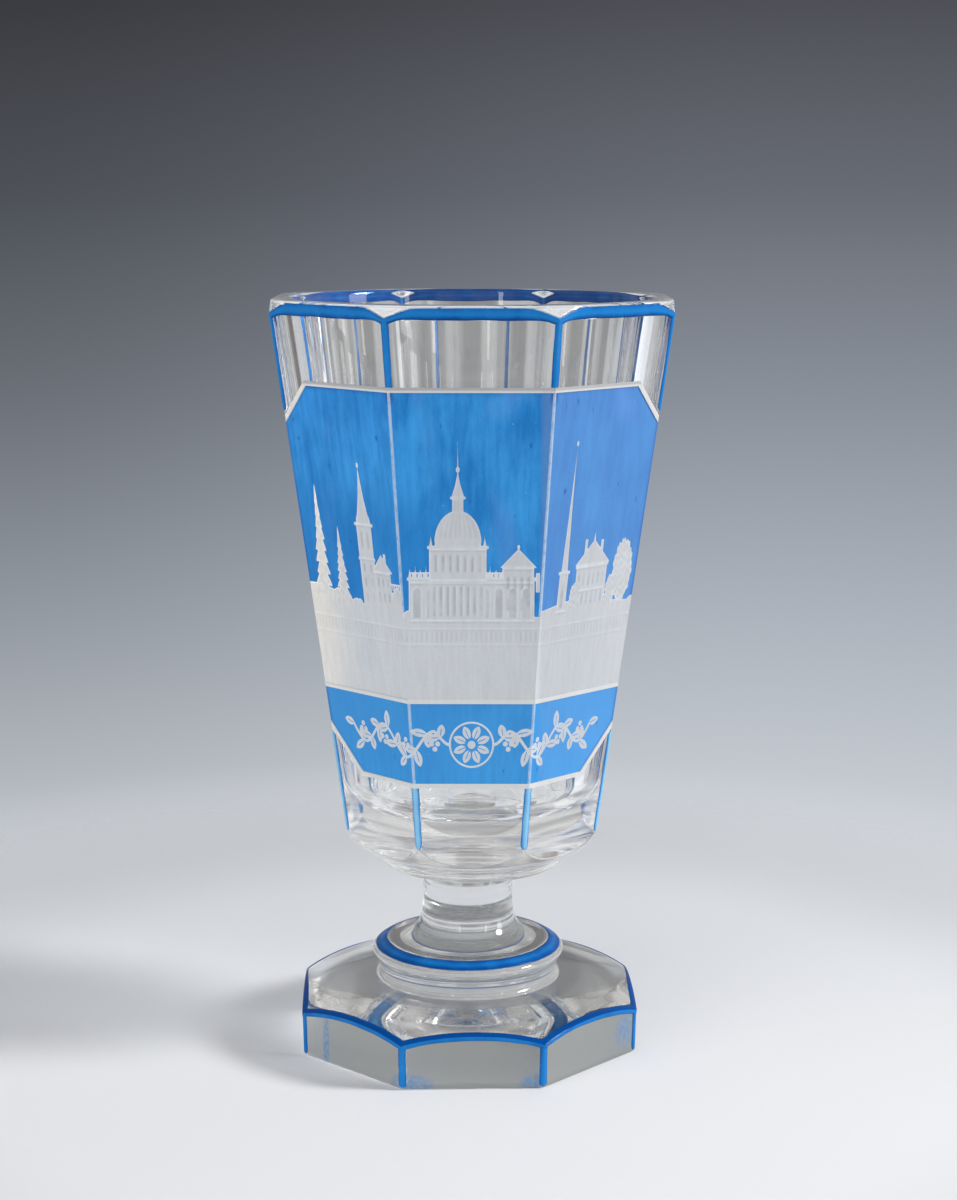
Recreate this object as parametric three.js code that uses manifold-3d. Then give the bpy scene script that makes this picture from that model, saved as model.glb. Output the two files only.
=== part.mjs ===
// A footed spa beaker of clear glass: an eight-sided bowl on a turned stem, a round collar and an
// eight-sided foot, hot-joined on flat seats. Blue enamel lines follow the rim and the edges, and a
// blue stained picture panel with an etched park scene covers the three front facets.
// Millimetres, +Z up. The origin is the middle of the base, and the front facet looks along -Y.

import * as THREE from "three";
import { mergeVertices } from "three/addons/utils/BufferGeometryUtils.js";
import Module from "manifold-3d";

const wasm = await Module();
wasm.setup();

// Driving dimensions: heights of the four gathers of glass
const footHeight = 11.9;
const collarHeight = 7;
const stemHeight = 15.1;
const bowlHeight = 106;

// Stem, collar and foot were joined by hand, a little to one side of the bowl's axis, and the
// foot's sides are turned a little against the bowl's
const lowerOffset = -0.75;
const footTurn = THREE.MathUtils.degToRad(2);

// Foot
const footFlats = 62.1;
const footDraftWidth = 0.3;
const footDomeRadius = 19;
const footDomeFall = 2.3;
const footShoulderRadius = 28;
const footShoulderFall = 1.4;

// Collar
const collarRadius = 18.1;
const collarBevelWidth = 2.9;
const collarBevelHeight = 1.6;
const collarEdgeRound = 1;
const collarEdgeLow = THREE.MathUtils.degToRad(-50);
const collarEdgeHigh = THREE.MathUtils.degToRad(30);
const collarWaistRadius = 16.6;
const collarWaistHeight = 1.1;
const collarFilletSag = 0.3;
const collarFlareRadius = 17.5;

// Stem
const stemRadius = 8.3;
const stemFlareRadius = 13;
const stemFlareFall = 2.1;
const stemFlareCrowding = 1.6;
const stemBeadRadius = 8.75;
const stemBeadHeight = 1.6;
const stemNeckHeight = 1.3;

// Bowl
const rimFlats = 72.08;
const heelFlats = 46;
const facetFootHeight = 8.05;
const rimReach = 1.16;
const rimBevelAngle = THREE.MathUtils.degToRad(38);
const rimBevelDepth = 4.5;
const rimWall = 2.85;
const lipRound = 0.7;
const heelRadius = 9.8;
const heelCornerAngle = THREE.MathUtils.degToRad(24);
const heelFootAngle = THREE.MathUtils.degToRad(78);
const heelTopAngle = THREE.MathUtils.degToRad(6);
const discRadius = 17.3;
const discHeight = 2.1;
const discRound = 1.5;
const bottomThickness = 11.6;
const floorWall = 4.3;
const floorRound = 6.5;
const floorDish = 0.6;

// How far the cutting bodies reach past what they cut
const cutMargin = 1;

// Enamel, stain and etched skins: their thickness, and the clearances that keep them apart
const skinThickness = 0.2;
const skinClearance = 0.05;
const skinGap = 0.1;

// Blue enamel lines
const rimBandHeight = 2.4;
const rimBandMargin = 0.25;
const bowlLineWidth = 1.5;
const footLineWidth = 1.6;
const footArchWidth = 0.75;
const footArchReach = 1;
const footLineLift = 0.4;
const collarRingMargin = 0.12;

// Picture panel, from a depth under the rim to a height above the facets' feet, its corners cut off
const panelTopDepth = 13.9;
const panelFootHeight = 11.95;
const captionHeight = 16.2;
const outlineWidth = 0.85;
const dividerWidth = 0.7;
const facetLineWidth = 0.6;
const upperCutAcross = 6.5;
const upperCutUp = 6.5;
const lowerCutAcross = 6.5;
const lowerCutUp = 8;
const horizonDepth = 41;

const SIDES = 8;
const FACET_ANGLE = (2 * Math.PI) / SIDES;
const TURNED_STEPS = 64;
const ARC_STEPS = 6;
const CURVE_STEPS = 10;

const footTop = footHeight;
const collarTop = footTop + collarHeight;
const stemTop = collarTop + stemHeight;
const rimTop = stemTop + bowlHeight;
const facetFoot = stemTop + facetFootHeight;
const bowlTilt = Math.atan((rimFlats - heelFlats) / 2 / (rimTop - facetFoot));

const glass = { color: 0xdfe5e8, roughness: 0.04, metalness: 0, transparent: true, opacity: 0.4 };
const enamel = { color: 0x0b5fb4, roughness: 0.25, metalness: 0 };
const stain = { color: 0x3f93da, roughness: 0.35, metalness: 0 };
const etched = { color: 0xcdd2d6, roughness: 0.9, metalness: 0 };

const beaker = new THREE.Group();
const lowerGathers = new THREE.Group();
lowerGathers.position.x = lowerOffset;
const footGather = new THREE.Group();
footGather.rotation.z = footTurn;
lowerGathers.add(footGather);
beaker.add(lowerGathers);

function addPiece(name, geometry, finish, parent = beaker) {
  const mesh = new THREE.Mesh(geometry, new THREE.MeshStandardMaterial(finish));
  mesh.name = name;
  parent.add(mesh);
}

// Solids from closed geometries, and back again

function solidOf(geometry) {
  const bare = geometry.clone();
  bare.deleteAttribute("normal");
  bare.deleteAttribute("uv");
  const merged = mergeVertices(bare);
  return new wasm.Manifold(
    new wasm.Mesh({
      numProp: 3,
      vertProperties: merged.getAttribute("position").array,
      triVerts: new Uint32Array(merged.index.array),
    }),
  );
}

function geometryOf(solid) {
  const mesh = solid.getMesh();
  const geometry = new THREE.BufferGeometry();
  geometry.setAttribute("position", new THREE.BufferAttribute(mesh.vertProperties, 3));
  geometry.setIndex(new THREE.BufferAttribute(mesh.triVerts, 1));
  geometry.computeVertexNormals();
  return geometry;
}

// A turned body from [radius, height] points that run up its outside, axis to axis
function turned(profile, steps = TURNED_STEPS, start = 0) {
  const points = profile.map(([radius, height]) => new THREE.Vector2(radius, height));
  return new THREE.LatheGeometry(points, steps, start).rotateX(Math.PI / 2);
}

const cornerOf = (apothem) => apothem / Math.cos(FACET_ANGLE / 2);

// An eight-sided body with a facet square to -Y, from [apothem, height] points
function eightSided(profile) {
  const corners = profile.map(([apothem, height]) => [cornerOf(apothem), height]);
  return solidOf(turned(corners, SIDES, FACET_ANGLE / 2));
}

// Points of an arc about [centreRadius, centreHeight], from one angle to another
function arc(centreRadius, centreHeight, radius, from, to, steps = ARC_STEPS) {
  return Array.from({ length: steps + 1 }, (_, i) => {
    const angle = from + ((to - from) * i) / steps;
    return [centreRadius + radius * Math.cos(angle), centreHeight + radius * Math.sin(angle)];
  });
}

// A flat outline of [across, up] points, thickened from one depth to another
function plate(outline, low, high) {
  const shape = new THREE.Shape(outline.map(([across, up]) => new THREE.Vector2(across, up)));
  const settings = { depth: high - low, bevelEnabled: false };
  return new THREE.ExtrudeGeometry(shape, settings).translate(0, 0, low);
}

const united = (solids) => solids.reduce((sum, next) => sum.add(next));

// Foot: a domed blank with a soft shoulder, cut to eight sides, so each side ends in an arch

const footApothem = (height) => footFlats / 2 - footDraftWidth * (1 - height / footHeight);

// The foot's top at a radius: a dome, and past the shoulder's radius a second curve on top of it.
// Each has its full fall at the corners of the eight sides.
function footTopAt(radius) {
  const corner = cornerOf(footFlats / 2);
  const reachPast = (start) => Math.max(radius - start, 0) / (corner - start);
  return (
    footTop -
    footDomeFall * reachPast(footDomeRadius) ** 2 -
    footShoulderFall * reachPast(footShoulderRadius) ** 2
  );
}

function footBlank(drop) {
  const outerRadius = cornerOf(footFlats / 2) + cutMargin;
  const dome = Array.from({ length: CURVE_STEPS + 1 }, (_, i) => {
    const radius = outerRadius + ((footDomeRadius - outerRadius) * i) / CURVE_STEPS;
    return [radius, footTopAt(radius) - drop];
  });
  return solidOf(turned([[0, 0], [outerRadius, 0], ...dome, [0, footTop - drop]]));
}

const footSides = (growth) =>
  eightSided([
    [0, 0],
    [footApothem(0) + growth, 0],
    [footApothem(footTop + cutMargin) + growth, footTop + cutMargin],
    [0, footTop + cutMargin],
  ]);

addPiece("foot", geometryOf(footBlank(0).intersect(footSides(0))), glass, footGather);

// Collar: a turned disc between the foot and the stem, with a bevel that carries the blue ring

const collarBevelFoot = collarTop - collarBevelHeight;
const collarTopRadius = collarRadius - collarBevelWidth;

function collarProfile() {
  const edgeCentre = collarRadius - collarEdgeRound;
  const edgeHeight = collarBevelFoot - collarEdgeRound / 2;
  return [
    [0, footTop],
    [collarFlareRadius, footTop],
    [(collarFlareRadius + collarWaistRadius) / 2, footTop + collarWaistHeight * collarFilletSag],
    [collarWaistRadius, footTop + collarWaistHeight],
    ...arc(edgeCentre, edgeHeight, collarEdgeRound, collarEdgeLow, collarEdgeHigh),
    [collarTopRadius, collarTop],
    [0, collarTop],
  ];
}

addPiece("collar", turned(collarProfile()), glass, lowerGathers);

// Stem: a flared foot that falls away to a cylinder, with one turned bead under the bowl

function stemProfile() {
  const beadFoot = stemTop - stemNeckHeight - stemBeadHeight;
  const flare = Array.from({ length: CURVE_STEPS + 1 }, (_, i) => {
    const height = (beadFoot - collarTop) * (i / CURVE_STEPS) ** stemFlareCrowding;
    return [
      stemRadius + (stemFlareRadius - stemRadius) * Math.exp(-height / stemFlareFall),
      collarTop + height,
    ];
  });
  const bead = Array.from({ length: ARC_STEPS }, (_, i) => {
    const share = (i + 1) / ARC_STEPS;
    const swell = (stemBeadRadius - stemRadius) * Math.sin(Math.PI * share);
    return [stemRadius + swell, beadFoot + stemBeadHeight * share];
  });
  return [[0, collarTop], ...flare, ...bead, [stemRadius, stemTop], [0, stemTop]];
}

addPiece("stem", turned(stemProfile()), glass, lowerGathers);

// Bowl: a turned blank with a bevelled rim and a round heel, cut to eight sides, round inside

const bowlApothem = (height) => rimFlats / 2 - (rimTop - height) * Math.tan(bowlTilt);
const rimRadius = rimFlats / 2 + rimReach;
const rimBevelSpread = Math.tan(rimBevelAngle);

function bowlBlank(margin) {
  const heelCentreRadius = cornerOf(heelFlats / 2) - heelRadius * Math.cos(heelCornerAngle);
  const heelCentreHeight = facetFoot + heelRadius * Math.sin(heelCornerAngle);
  const heel = arc(heelCentreRadius, heelCentreHeight, heelRadius, -heelFootAngle, -heelTopAngle);
  const discTop = stemTop + discHeight;
  return solidOf(
    turned([
      [0, stemTop],
      ...arc(discRadius - discRound, stemTop + discRound, discRound, -Math.PI / 2, 0, ARC_STEPS / 2),
      [discRadius, discTop],
      ...heel,
      [rimRadius + rimBevelSpread * rimBevelDepth, rimTop - margin - rimBevelDepth],
      [rimRadius, rimTop - margin],
      [0, rimTop - margin],
    ]),
  );
}

const bowlSides = (growth) =>
  eightSided([
    [0, stemTop - cutMargin],
    [bowlApothem(stemTop - cutMargin) + growth, stemTop - cutMargin],
    [bowlApothem(rimTop + cutMargin) + growth, rimTop + cutMargin],
    [0, rimTop + cutMargin],
  ]);

function bowlCavity() {
  const floor = stemTop + bottomThickness;
  const innerTop = rimFlats / 2 - rimWall;
  const cornerHeight = floor + floorDish + floorRound;
  const innerFoot = bowlApothem(cornerHeight) - floorWall;
  const slope = Math.atan((innerTop - innerFoot) / (rimTop - cornerHeight));
  const cornerRadius = innerFoot - floorRound * Math.cos(slope);
  return solidOf(
    turned([
      [0, floor],
      ...arc(cornerRadius, cornerHeight, floorRound, -Math.PI / 2, -slope),
      [innerTop - lipRound * Math.tan(slope), rimTop - lipRound],
      [innerTop + lipRound, rimTop + lipRound],
      [0, rimTop + lipRound],
    ]),
  );
}

addPiece("bowl", geometryOf(bowlBlank(0).intersect(bowlSides(0)).subtract(bowlCavity())), glass);

// Skins on the glass: a thin shell just outside the sides, which the lines are cut from

const skin = (sides) => sides(skinClearance + skinThickness).subtract(sides(skinClearance));

// Everything between two heights
function layer(low, high) {
  const wide = rimFlats + footFlats;
  return solidOf(new THREE.BoxGeometry(wide, wide, high - low).translate(0, 0, (low + high) / 2));
}

// A thin upright wall through one corner, numbered from the one to the right of the front facet
function cornerWall(corner, width, low, high) {
  const across = width * Math.cos(FACET_ANGLE / 2);
  const reach = rimFlats;
  const wall = new THREE.BoxGeometry(across, reach, high - low);
  wall.translate(0, -reach / 2, (low + high) / 2);
  return solidOf(wall.rotateZ(FACET_ANGLE * (corner + 0.5)));
}

const bowlSkin = skin(bowlSides);
const footSkin = skin(footSides);

// Rim band: the top of the skin, trimmed just inside the bevelled edge

const rimBandFoot = rimTop - rimBandHeight - rimBandMargin;
addPiece(
  "rim_enamel_band",
  geometryOf(bowlSkin.intersect(bowlBlank(rimBandMargin)).intersect(layer(rimBandFoot, rimTop))),
  enamel,
);

// Bowl edge lines: the four back corners whole, the four front ones above and below the panel

const panelTop = rimTop - panelTopDepth;
const panelFoot = facetFoot + panelFootHeight;
const lineTop = rimBandFoot - skinGap;
const lineFoot = facetFoot + skinGap;

const frontCorners = { outer_left: -2, inner_left: -1, inner_right: 0, outer_right: 1 };
const backCorners = { side_left: -3, rear_left: -4, rear_right: 3, side_right: 2 };

function bowlLine(name, corner, low, high) {
  const wall = cornerWall(corner, bowlLineWidth, low, high);
  addPiece(name, geometryOf(bowlSkin.intersect(wall)), enamel);
}

for (const [place, corner] of Object.entries(backCorners)) {
  bowlLine(`edge_line_${place}`, corner, lineFoot, lineTop);
}
for (const [place, corner] of Object.entries(frontCorners)) {
  const atEnd = place.startsWith("outer");
  const panelHigh = panelTop - (atEnd ? upperCutUp - bowlLineWidth : 0);
  const panelLow = panelFoot + (atEnd ? lowerCutUp - bowlLineWidth : 0);
  bowlLine(`upper_edge_line_${place}`, corner, panelHigh + skinGap, lineTop);
  bowlLine(`lower_edge_line_${place}`, corner, lineFoot, panelLow - skinGap);
}

// Collar ring: a thin cone on the collar's bevel

function collarRing() {
  const bevel = Math.atan2(collarBevelHeight, collarBevelWidth);
  const along = (distance, lift) => [
    collarTopRadius + distance * Math.cos(bevel) + lift * Math.sin(bevel),
    collarTop - distance * Math.sin(bevel) + lift * Math.cos(bevel),
  ];
  const inner = collarRingMargin;
  const outer = collarBevelWidth / Math.cos(bevel) - collarEdgeRound / 2;
  const top = skinClearance + skinThickness;
  return turned([
    along(inner, skinClearance),
    along(outer, skinClearance),
    along(outer, top),
    along(inner, top),
    along(inner, skinClearance),
  ]);
}

addPiece("collar_ring", collarRing(), enamel, lowerGathers);

// Foot lines: one arched line that wraps the shoulder's edge all round, and one down each corner

const archAtCorner = footTopAt(cornerOf(footFlats / 2));

function footArchLine() {
  const grown = (lift) => footBlank(-lift).intersect(footSides(lift));
  return grown(skinClearance + skinThickness)
    .subtract(grown(skinClearance))
    .intersect(layer(archAtCorner - 2 * footArchWidth, footTop + cutMargin))
    .subtract(footBlank(footArchWidth))
    .subtract(footSides(-footArchReach));
}

addPiece("foot_arch_line", geometryOf(footArchLine()), enamel, footGather);

for (let corner = 0; corner < SIDES; corner += 1) {
  const high = archAtCorner - footArchWidth - skinGap;
  const wall = cornerWall(corner, footLineWidth, footLineLift, high);
  const line = footSkin.intersect(wall);
  addPiece(`foot_edge_line_${corner + 1}`, geometryOf(line), enamel, footGather);
}

// Picture panel: thin plates on the three front facets, drawn in each facet's own plane.
// Across is measured from the facet's middle, and up is a height above the base.

const facetUp = (height) => (height - panelFoot) / Math.cos(bowlTilt);
const facetHalf = (height) => bowlApothem(height) * Math.tan(FACET_ANGLE / 2);
const inPlane = (outline) => outline.map(([across, height]) => [across, facetUp(height)]);
const skinLow = skinClearance;
const skinHigh = skinClearance + skinThickness;
const captionTop = panelFoot + captionHeight;

const upperCut = { level: panelTop, inward: -1, across: upperCutAcross, up: upperCutUp };
const lowerCut = { level: panelFoot, inward: 1, across: lowerCutAcross, up: lowerCutUp };
const noCut = (level, inward) => ({ level, inward, across: 0, up: 0 });

// The end of a panel edge at one side of a facet, moved inwards from the cut's own line
function edgeEnd({ level, inward, across, up }, inset, end, side) {
  if (end !== side || across === 0) {
    const height = level + inward * inset;
    return [[end * (facetHalf(height) - facetLineWidth / 2), height]];
  }
  const rise = up + (inset * Math.hypot(across, up)) / across;
  const run = ((rise - inset) * across) / up;
  const outer = level + inward * rise;
  return [
    [end * (facetHalf(outer) - facetLineWidth / 2), outer],
    [end * (facetHalf(level) - facetLineWidth / 2 - run), level + inward * inset],
  ];
}

// A field of the panel on one facet: side is -1 on the left facet, 0 on the middle, 1 on the right
function field(side, lower, upper, lowerInset, upperInset) {
  return [
    ...edgeEnd(lower, lowerInset, -1, side),
    ...edgeEnd(lower, lowerInset, 1, side).reverse(),
    ...edgeEnd(upper, upperInset, 1, side),
    ...edgeEnd(upper, upperInset, -1, side).reverse(),
  ];
}

// Each facet's own plane: across to the right, up its slope and out of the glass
function facetPlane(side) {
  const turn = new THREE.Group();
  turn.rotation.z = side * FACET_ANGLE;
  const plane = new THREE.Group();
  plane.position.set(0, -bowlApothem(panelFoot), panelFoot);
  plane.rotation.x = Math.PI / 2 + bowlTilt;
  turn.add(plane);
  beaker.add(turn);
  turn.updateMatrixWorld(true);
  return plane;
}

const facets = [
  { place: "left", side: -1, plane: facetPlane(-1) },
  { place: "middle", side: 0, plane: facetPlane(0) },
  { place: "right", side: 1, plane: facetPlane(1) },
];

// An etched line round the three facets: plates that pass the corners, trimmed to the skin
function etchedLine(name, cut, width) {
  const strips = facets.map(({ side, plane }) => {
    const outer = [...edgeEnd(cut, 0, -1, side), ...edgeEnd(cut, 0, 1, side).reverse()];
    const inner = [...edgeEnd(cut, width, -1, side), ...edgeEnd(cut, width, 1, side).reverse()];
    const passed = ([across, height]) => {
      const end = Math.sign(across);
      const atCorner = end !== side && Math.abs(across) > facetHalf(height) / 2;
      return [across + (atCorner ? end * facetLineWidth : 0), height];
    };
    const outline = [...outer, ...inner.reverse()].map(passed);
    return solidOf(plate(inPlane(outline), -skinHigh, 2 * skinHigh).applyMatrix4(plane.matrixWorld));
  });
  addPiece(name, geometryOf(united(strips).intersect(bowlSkin)), etched);
}

etchedLine("etched_line_top", upperCut, outlineWidth);
etchedLine("etched_line_middle", noCut(captionTop - dividerWidth / 2, 1), dividerWidth);
etchedLine("etched_line_bottom", lowerCut, outlineWidth);

// Motifs of the etched park scene, in units of the picture: 12 across from the middle of a facet
// to its edge, and 40 up from the horizon to the panel's top. Each outline can grow all round.

const horizon = panelTop - horizonDepth;
const acrossUnit = facetHalf(horizon) / 12;
const upUnit = horizonDepth / 40;
const atUp = (units) => horizon + units * upUnit;

// A wall between two levels
const block = (middle, half, low, high) => (grow) => {
  const reach = half * acrossUnit + grow;
  const centre = middle * acrossUnit;
  return [
    [centre - reach, atUp(low) - grow],
    [centre + reach, atUp(low) - grow],
    [centre + reach, atUp(high) + grow],
    [centre - reach, atUp(high) + grow],
  ];
};

// A pointed roof, obelisk or finial: its tip grows further than its sides
const TIP_GROWTH = 3;
const spire = (middle, half, low, tip) => (grow) => {
  const reach = half * acrossUnit + grow;
  const centre = middle * acrossUnit;
  return [
    [centre - reach, atUp(low) - grow],
    [centre + reach, atUp(low) - grow],
    [centre, atUp(tip) + TIP_GROWTH * grow],
  ];
};

// A domed roof
const dome = (middle, half, low, high) => (grow) =>
  arc(0, 0, 1, 0, Math.PI, CURVE_STEPS).map(([across, up]) => [
    middle * acrossUnit + across * (half * acrossUnit + grow),
    atUp(low) - grow + up * ((high - low) * upUnit + 2 * grow),
  ]);

// A round tree crown
const crown = (middle, half, low, high) => (grow) =>
  arc(0, 0, 1, 0, 2 * Math.PI, 2 * CURVE_STEPS)
    .slice(1)
    .map(([across, up]) => [
      middle * acrossUnit + across * (half * acrossUnit + grow),
      atUp((low + high) / 2) + up * (((high - low) / 2) * upUnit + grow),
    ]);

// A fir tree of tapering tiers, each with its boughs reaching past the tier above
const FIR_TIERS = 5;
const TIER_SHRINK = 0.18;
const TIER_TAPER = 0.55;
const fir = (middle, half, low, tip) => (grow) => {
  const right = [];
  for (let tier = 0; tier < FIR_TIERS; tier += 1) {
    const bough = half * acrossUnit * (1 - tier * TIER_SHRINK);
    const tierLow = low + ((tip - low) * tier) / FIR_TIERS;
    const tierHigh = low + ((tip - low) * (tier + 1)) / FIR_TIERS;
    right.push([bough + grow, atUp(tierLow) - grow]);
    right.push([bough * TIER_TAPER + grow, atUp(tierHigh) - grow]);
  }
  const left = right.map(([across, height]) => [-across, height]).reverse();
  const outline = [...right, [0, atUp(tip) + TIP_GROWTH * grow], ...left];
  return outline.map(([across, height]) => [middle * acrossUnit + across, height]);
};

// Rolling ground from the divider up, past both edges of a facet: a level with one slow wave on it
const ground = (level, wave, phase) => (grow) => {
  const half = facetHalf(atUp(level));
  const top = Array.from({ length: 2 * CURVE_STEPS + 1 }, (_, i) => {
    const share = 1 - i / CURVE_STEPS;
    return [share * half, atUp(level + wave * Math.cos(Math.PI * share + phase)) + grow];
  });
  return [[-half, captionTop], [half, captionTop], ...top];
};

const scenes = {
  left: [
    ground(3, 1.2, 2.4),
    fir(-8, 2.6, 0, 22),
    fir(-2.9, 2.2, 0, 15),
    block(4.2, 1.9, 0, 16),
    spire(4.2, 2.4, 16, 26),
    block(7.9, 2, 0, 8),
    spire(7.9, 2.5, 8, 11),
  ],
  middle: [
    ground(1, 0.4, 0),
    block(0, 11, 0, 7.4),
    block(-2.4, 5, 0, 13),
    dome(-2.4, 4.4, 13, 19),
    block(-2.4, 0.9, 18, 21.6),
    spire(-2.4, 0.9, 21.6, 27),
    block(8.2, 2.7, 0, 9.4),
    spire(8.2, 3.2, 9.4, 12.6),
  ],
  right: [
    ground(2, 0.8, 0.6),
    block(-7, 1.1, 0, 8),
    spire(-7, 0.8, 8, 30),
    block(0.2, 4, 0, 8.6),
    spire(0.2, 4.6, 8.6, 13),
    crown(8.4, 2.6, 1, 12.4),
  ],
};

// The scene is what the motifs cover of the upper field, and the stained sky is the rest
for (const { place, side, plane } of facets) {
  const lower = noCut(captionTop + dividerWidth / 2, 1);
  const upperField = field(side, lower, upperCut, skinGap, outlineWidth + skinGap);
  const fieldPlate = solidOf(plate(inPlane(upperField), skinLow, skinHigh));
  const motifs = (grow) =>
    united(scenes[place].map((motif) => solidOf(plate(inPlane(motif(grow)), 0, 2 * skinHigh))));
  addPiece(`etched_scene_${place}`, geometryOf(fieldPlate.intersect(motifs(0))), etched, plane);
  addPiece(`stained_sky_${place}`, geometryOf(fieldPlate.subtract(motifs(skinGap))), stain, plane);

  const upper = noCut(captionTop - dividerWidth / 2, -1);
  const lowerField = field(side, lowerCut, upper, outlineWidth + skinGap, skinGap);
  addPiece(`stained_band_${place}`, plate(inPlane(lowerField), skinLow, skinHigh), stain, plane);
}

export default beaker;
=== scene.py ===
"""The looks of a footed spa beaker: clear cut glass with fired blue lines, and a blue stained
picture panel with an etched park scene on its three front facets.

Shapes are worked out in millimetres and written to the meshes in metres. Angles run round the
beaker from the middle front facet, which looks along -Y, towards +X.
"""

import math

import bpy
import numpy as np
from mathutils import Matrix, Vector

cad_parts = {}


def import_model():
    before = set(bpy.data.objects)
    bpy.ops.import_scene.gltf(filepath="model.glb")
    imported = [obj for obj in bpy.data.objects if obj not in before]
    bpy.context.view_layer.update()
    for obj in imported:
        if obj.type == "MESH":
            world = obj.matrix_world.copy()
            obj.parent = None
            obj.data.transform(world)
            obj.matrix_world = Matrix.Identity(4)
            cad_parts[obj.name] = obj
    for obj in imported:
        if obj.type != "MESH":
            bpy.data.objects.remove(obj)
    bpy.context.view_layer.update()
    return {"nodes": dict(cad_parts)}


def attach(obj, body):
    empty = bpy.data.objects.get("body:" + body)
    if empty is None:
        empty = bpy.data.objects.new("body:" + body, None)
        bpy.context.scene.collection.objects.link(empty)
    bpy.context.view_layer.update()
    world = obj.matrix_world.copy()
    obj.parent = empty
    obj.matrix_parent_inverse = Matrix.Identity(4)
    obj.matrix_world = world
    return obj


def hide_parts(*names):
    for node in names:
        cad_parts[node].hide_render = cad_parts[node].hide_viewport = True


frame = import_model()

MM = 0.001
BODY = "root"
SIDES = 8
FACET = 2 * math.pi / SIDES
TAN_HALF = math.tan(FACET / 2)
COS_HALF = math.cos(FACET / 2)

# Tops of the four gathers of glass in mm, and how the lower three stand off the bowl's axis
FOOT_TOP = 11.9
COLLAR_TOP = 18.9
STEM_TOP = 34.0
RIM_TOP = 140.0
SEAT_OFFSET = -0.75
FOOT_TURN = math.radians(2)

# Bowl
RIM_APOTHEM = 36.04
HEEL_APOTHEM = 23.0
FACET_FOOT = 42.05
TILT = math.atan((RIM_APOTHEM - HEEL_APOTHEM) / (RIM_TOP - FACET_FOOT))
RIM_RADIUS = 37.2
BEVEL_SLOPE = math.tan(math.radians(38))
RIM_WALL = 2.85
OUTER_LIP = 0.45
INNER_LIP = 0.8
HEEL_RADIUS = 9.8
HEEL_CORNER = math.radians(-24)
HEEL_START = math.radians(-78)
DISC_RADIUS = 17.3
DISC_ROUND = 1.5
DISC_HEIGHT = 2.1
CAVITY_FLOOR = 45.6
FLOOR_DISH = 0.6
FLOOR_ROUND = 6.5
FLOOR_WALL = 4.3
CORNER_ROUND = 0.5

# Stem
STEM_RADIUS = 8.3
STEM_FLARE = 13.0
STEM_FALL = 2.1

# Collar
COLLAR_RADIUS = 18.1
COLLAR_BEVEL_WIDTH = 2.9
COLLAR_BEVEL_HEIGHT = 1.6
COLLAR_WAIST = 16.6
COLLAR_FLARE = 17.5

# Foot
FOOT_APOTHEM = 31.05
FOOT_DRAFT = 0.3
DOME_RADIUS = 19.0
DOME_FALL = 2.3
SHOULDER_RADIUS = 28.0
SHOULDER_FALL = 1.4

# Enamel
LINE_WIDTH = 1.5
FOOT_LINE_WIDTH = 1.6
FOOT_LINE_FOOT = 0.4
ARCH_WIDTH = 0.75
ARCH_REACH = 1.0
LINE_FOOT = 42.15
BAND_FOOT = 137.35
BAND_MARGIN = 0.25
SEAM_MARGIN = 0.1
SEAM_LINE = 0.65
CUT_MARGIN = 1.2
SKIN_LOW = 0.02
SKIN_RIM = 0.04
SKIN_DOME = 0.14

# Picture panel
PANEL_TOP = 126.1
PANEL_FOOT = 54.0
OUTLINE = 0.85
DIVIDER = 0.7
DIVIDER_TOP = 70.2 + DIVIDER / 2
DIVIDER_FOOT = 70.2 - DIVIDER / 2
UPPER_CUT = (6.5, 6.5)
LOWER_CUT = (6.5, 8.0)
HORIZON = 85.1


# Shapes in general. Each facet has columns at the margins' distances in mm from both corners,
# and as many more as the second value spread between them.

MARGINS = (0, 0.1, 0.21, 0.4, 0.65, 0.85)
MIDDLE_COLUMNS = 22


def off_middle(angle):
    """Each angle as measured from the middle of the facet that it lies in."""
    return (angle + FACET / 2) % FACET - FACET / 2


def off_corner(angle):
    """The angle from the nearest corner, 0 or more."""
    return FACET / 2 - np.abs(off_middle(angle))


def octagon(angle, apothem, rounding):
    """Radius of a regular octagon with rounded corners at each angle.

    Flat part: apothem / cos(angle from the facet's middle). Near a corner it is the outer
    crossing of the ray with the rounding circle, whose centre lies on the corner's bisector.
    """
    from_middle, from_corner = off_middle(angle), off_corner(angle)
    flat = apothem / np.cos(from_middle)
    centre = (apothem - rounding) / COS_HALF
    inside = np.maximum(rounding**2 - (centre * np.sin(from_corner)) ** 2, 0)
    round_part = centre * np.cos(from_corner) + np.sqrt(inside)
    across = apothem * np.abs(np.tan(from_middle))
    at_corner = across > (apothem - rounding) * TAN_HALF
    return np.where(at_corner, round_part, flat)


def facet_columns(apothem):
    """Angles round the octagon for each row, (rows, columns), from each row's apothem.

    The columns keep their distances from the corners, so that painted lines of one width can
    follow them.
    """
    half = np.atleast_1d(apothem * TAN_HALF)[:, None]
    low = -half + np.array(MARGINS)[None]
    share = np.linspace(0, 1, MIDDLE_COLUMNS + 2)[1:-1][None]
    inner = (half - MARGINS[-1]) * (2 * share - 1)
    high = half - np.array(MARGINS[:0:-1])[None]
    across = np.concatenate([low, inner, high], axis=1)
    one = np.arctan(across * TAN_HALF / half)
    return np.concatenate([one + FACET * k for k in range(SIDES)], axis=1)


def polar(radius, angle, height, centre=0.0):
    """Points (rows, columns, 3): (centre + radius sin angle, -radius cos angle, height)."""
    radius, angle, height, centre = np.broadcast_arrays(radius, angle, height, centre)
    return np.stack([centre + radius * np.sin(angle), -radius * np.cos(angle), height], axis=-1)


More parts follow.
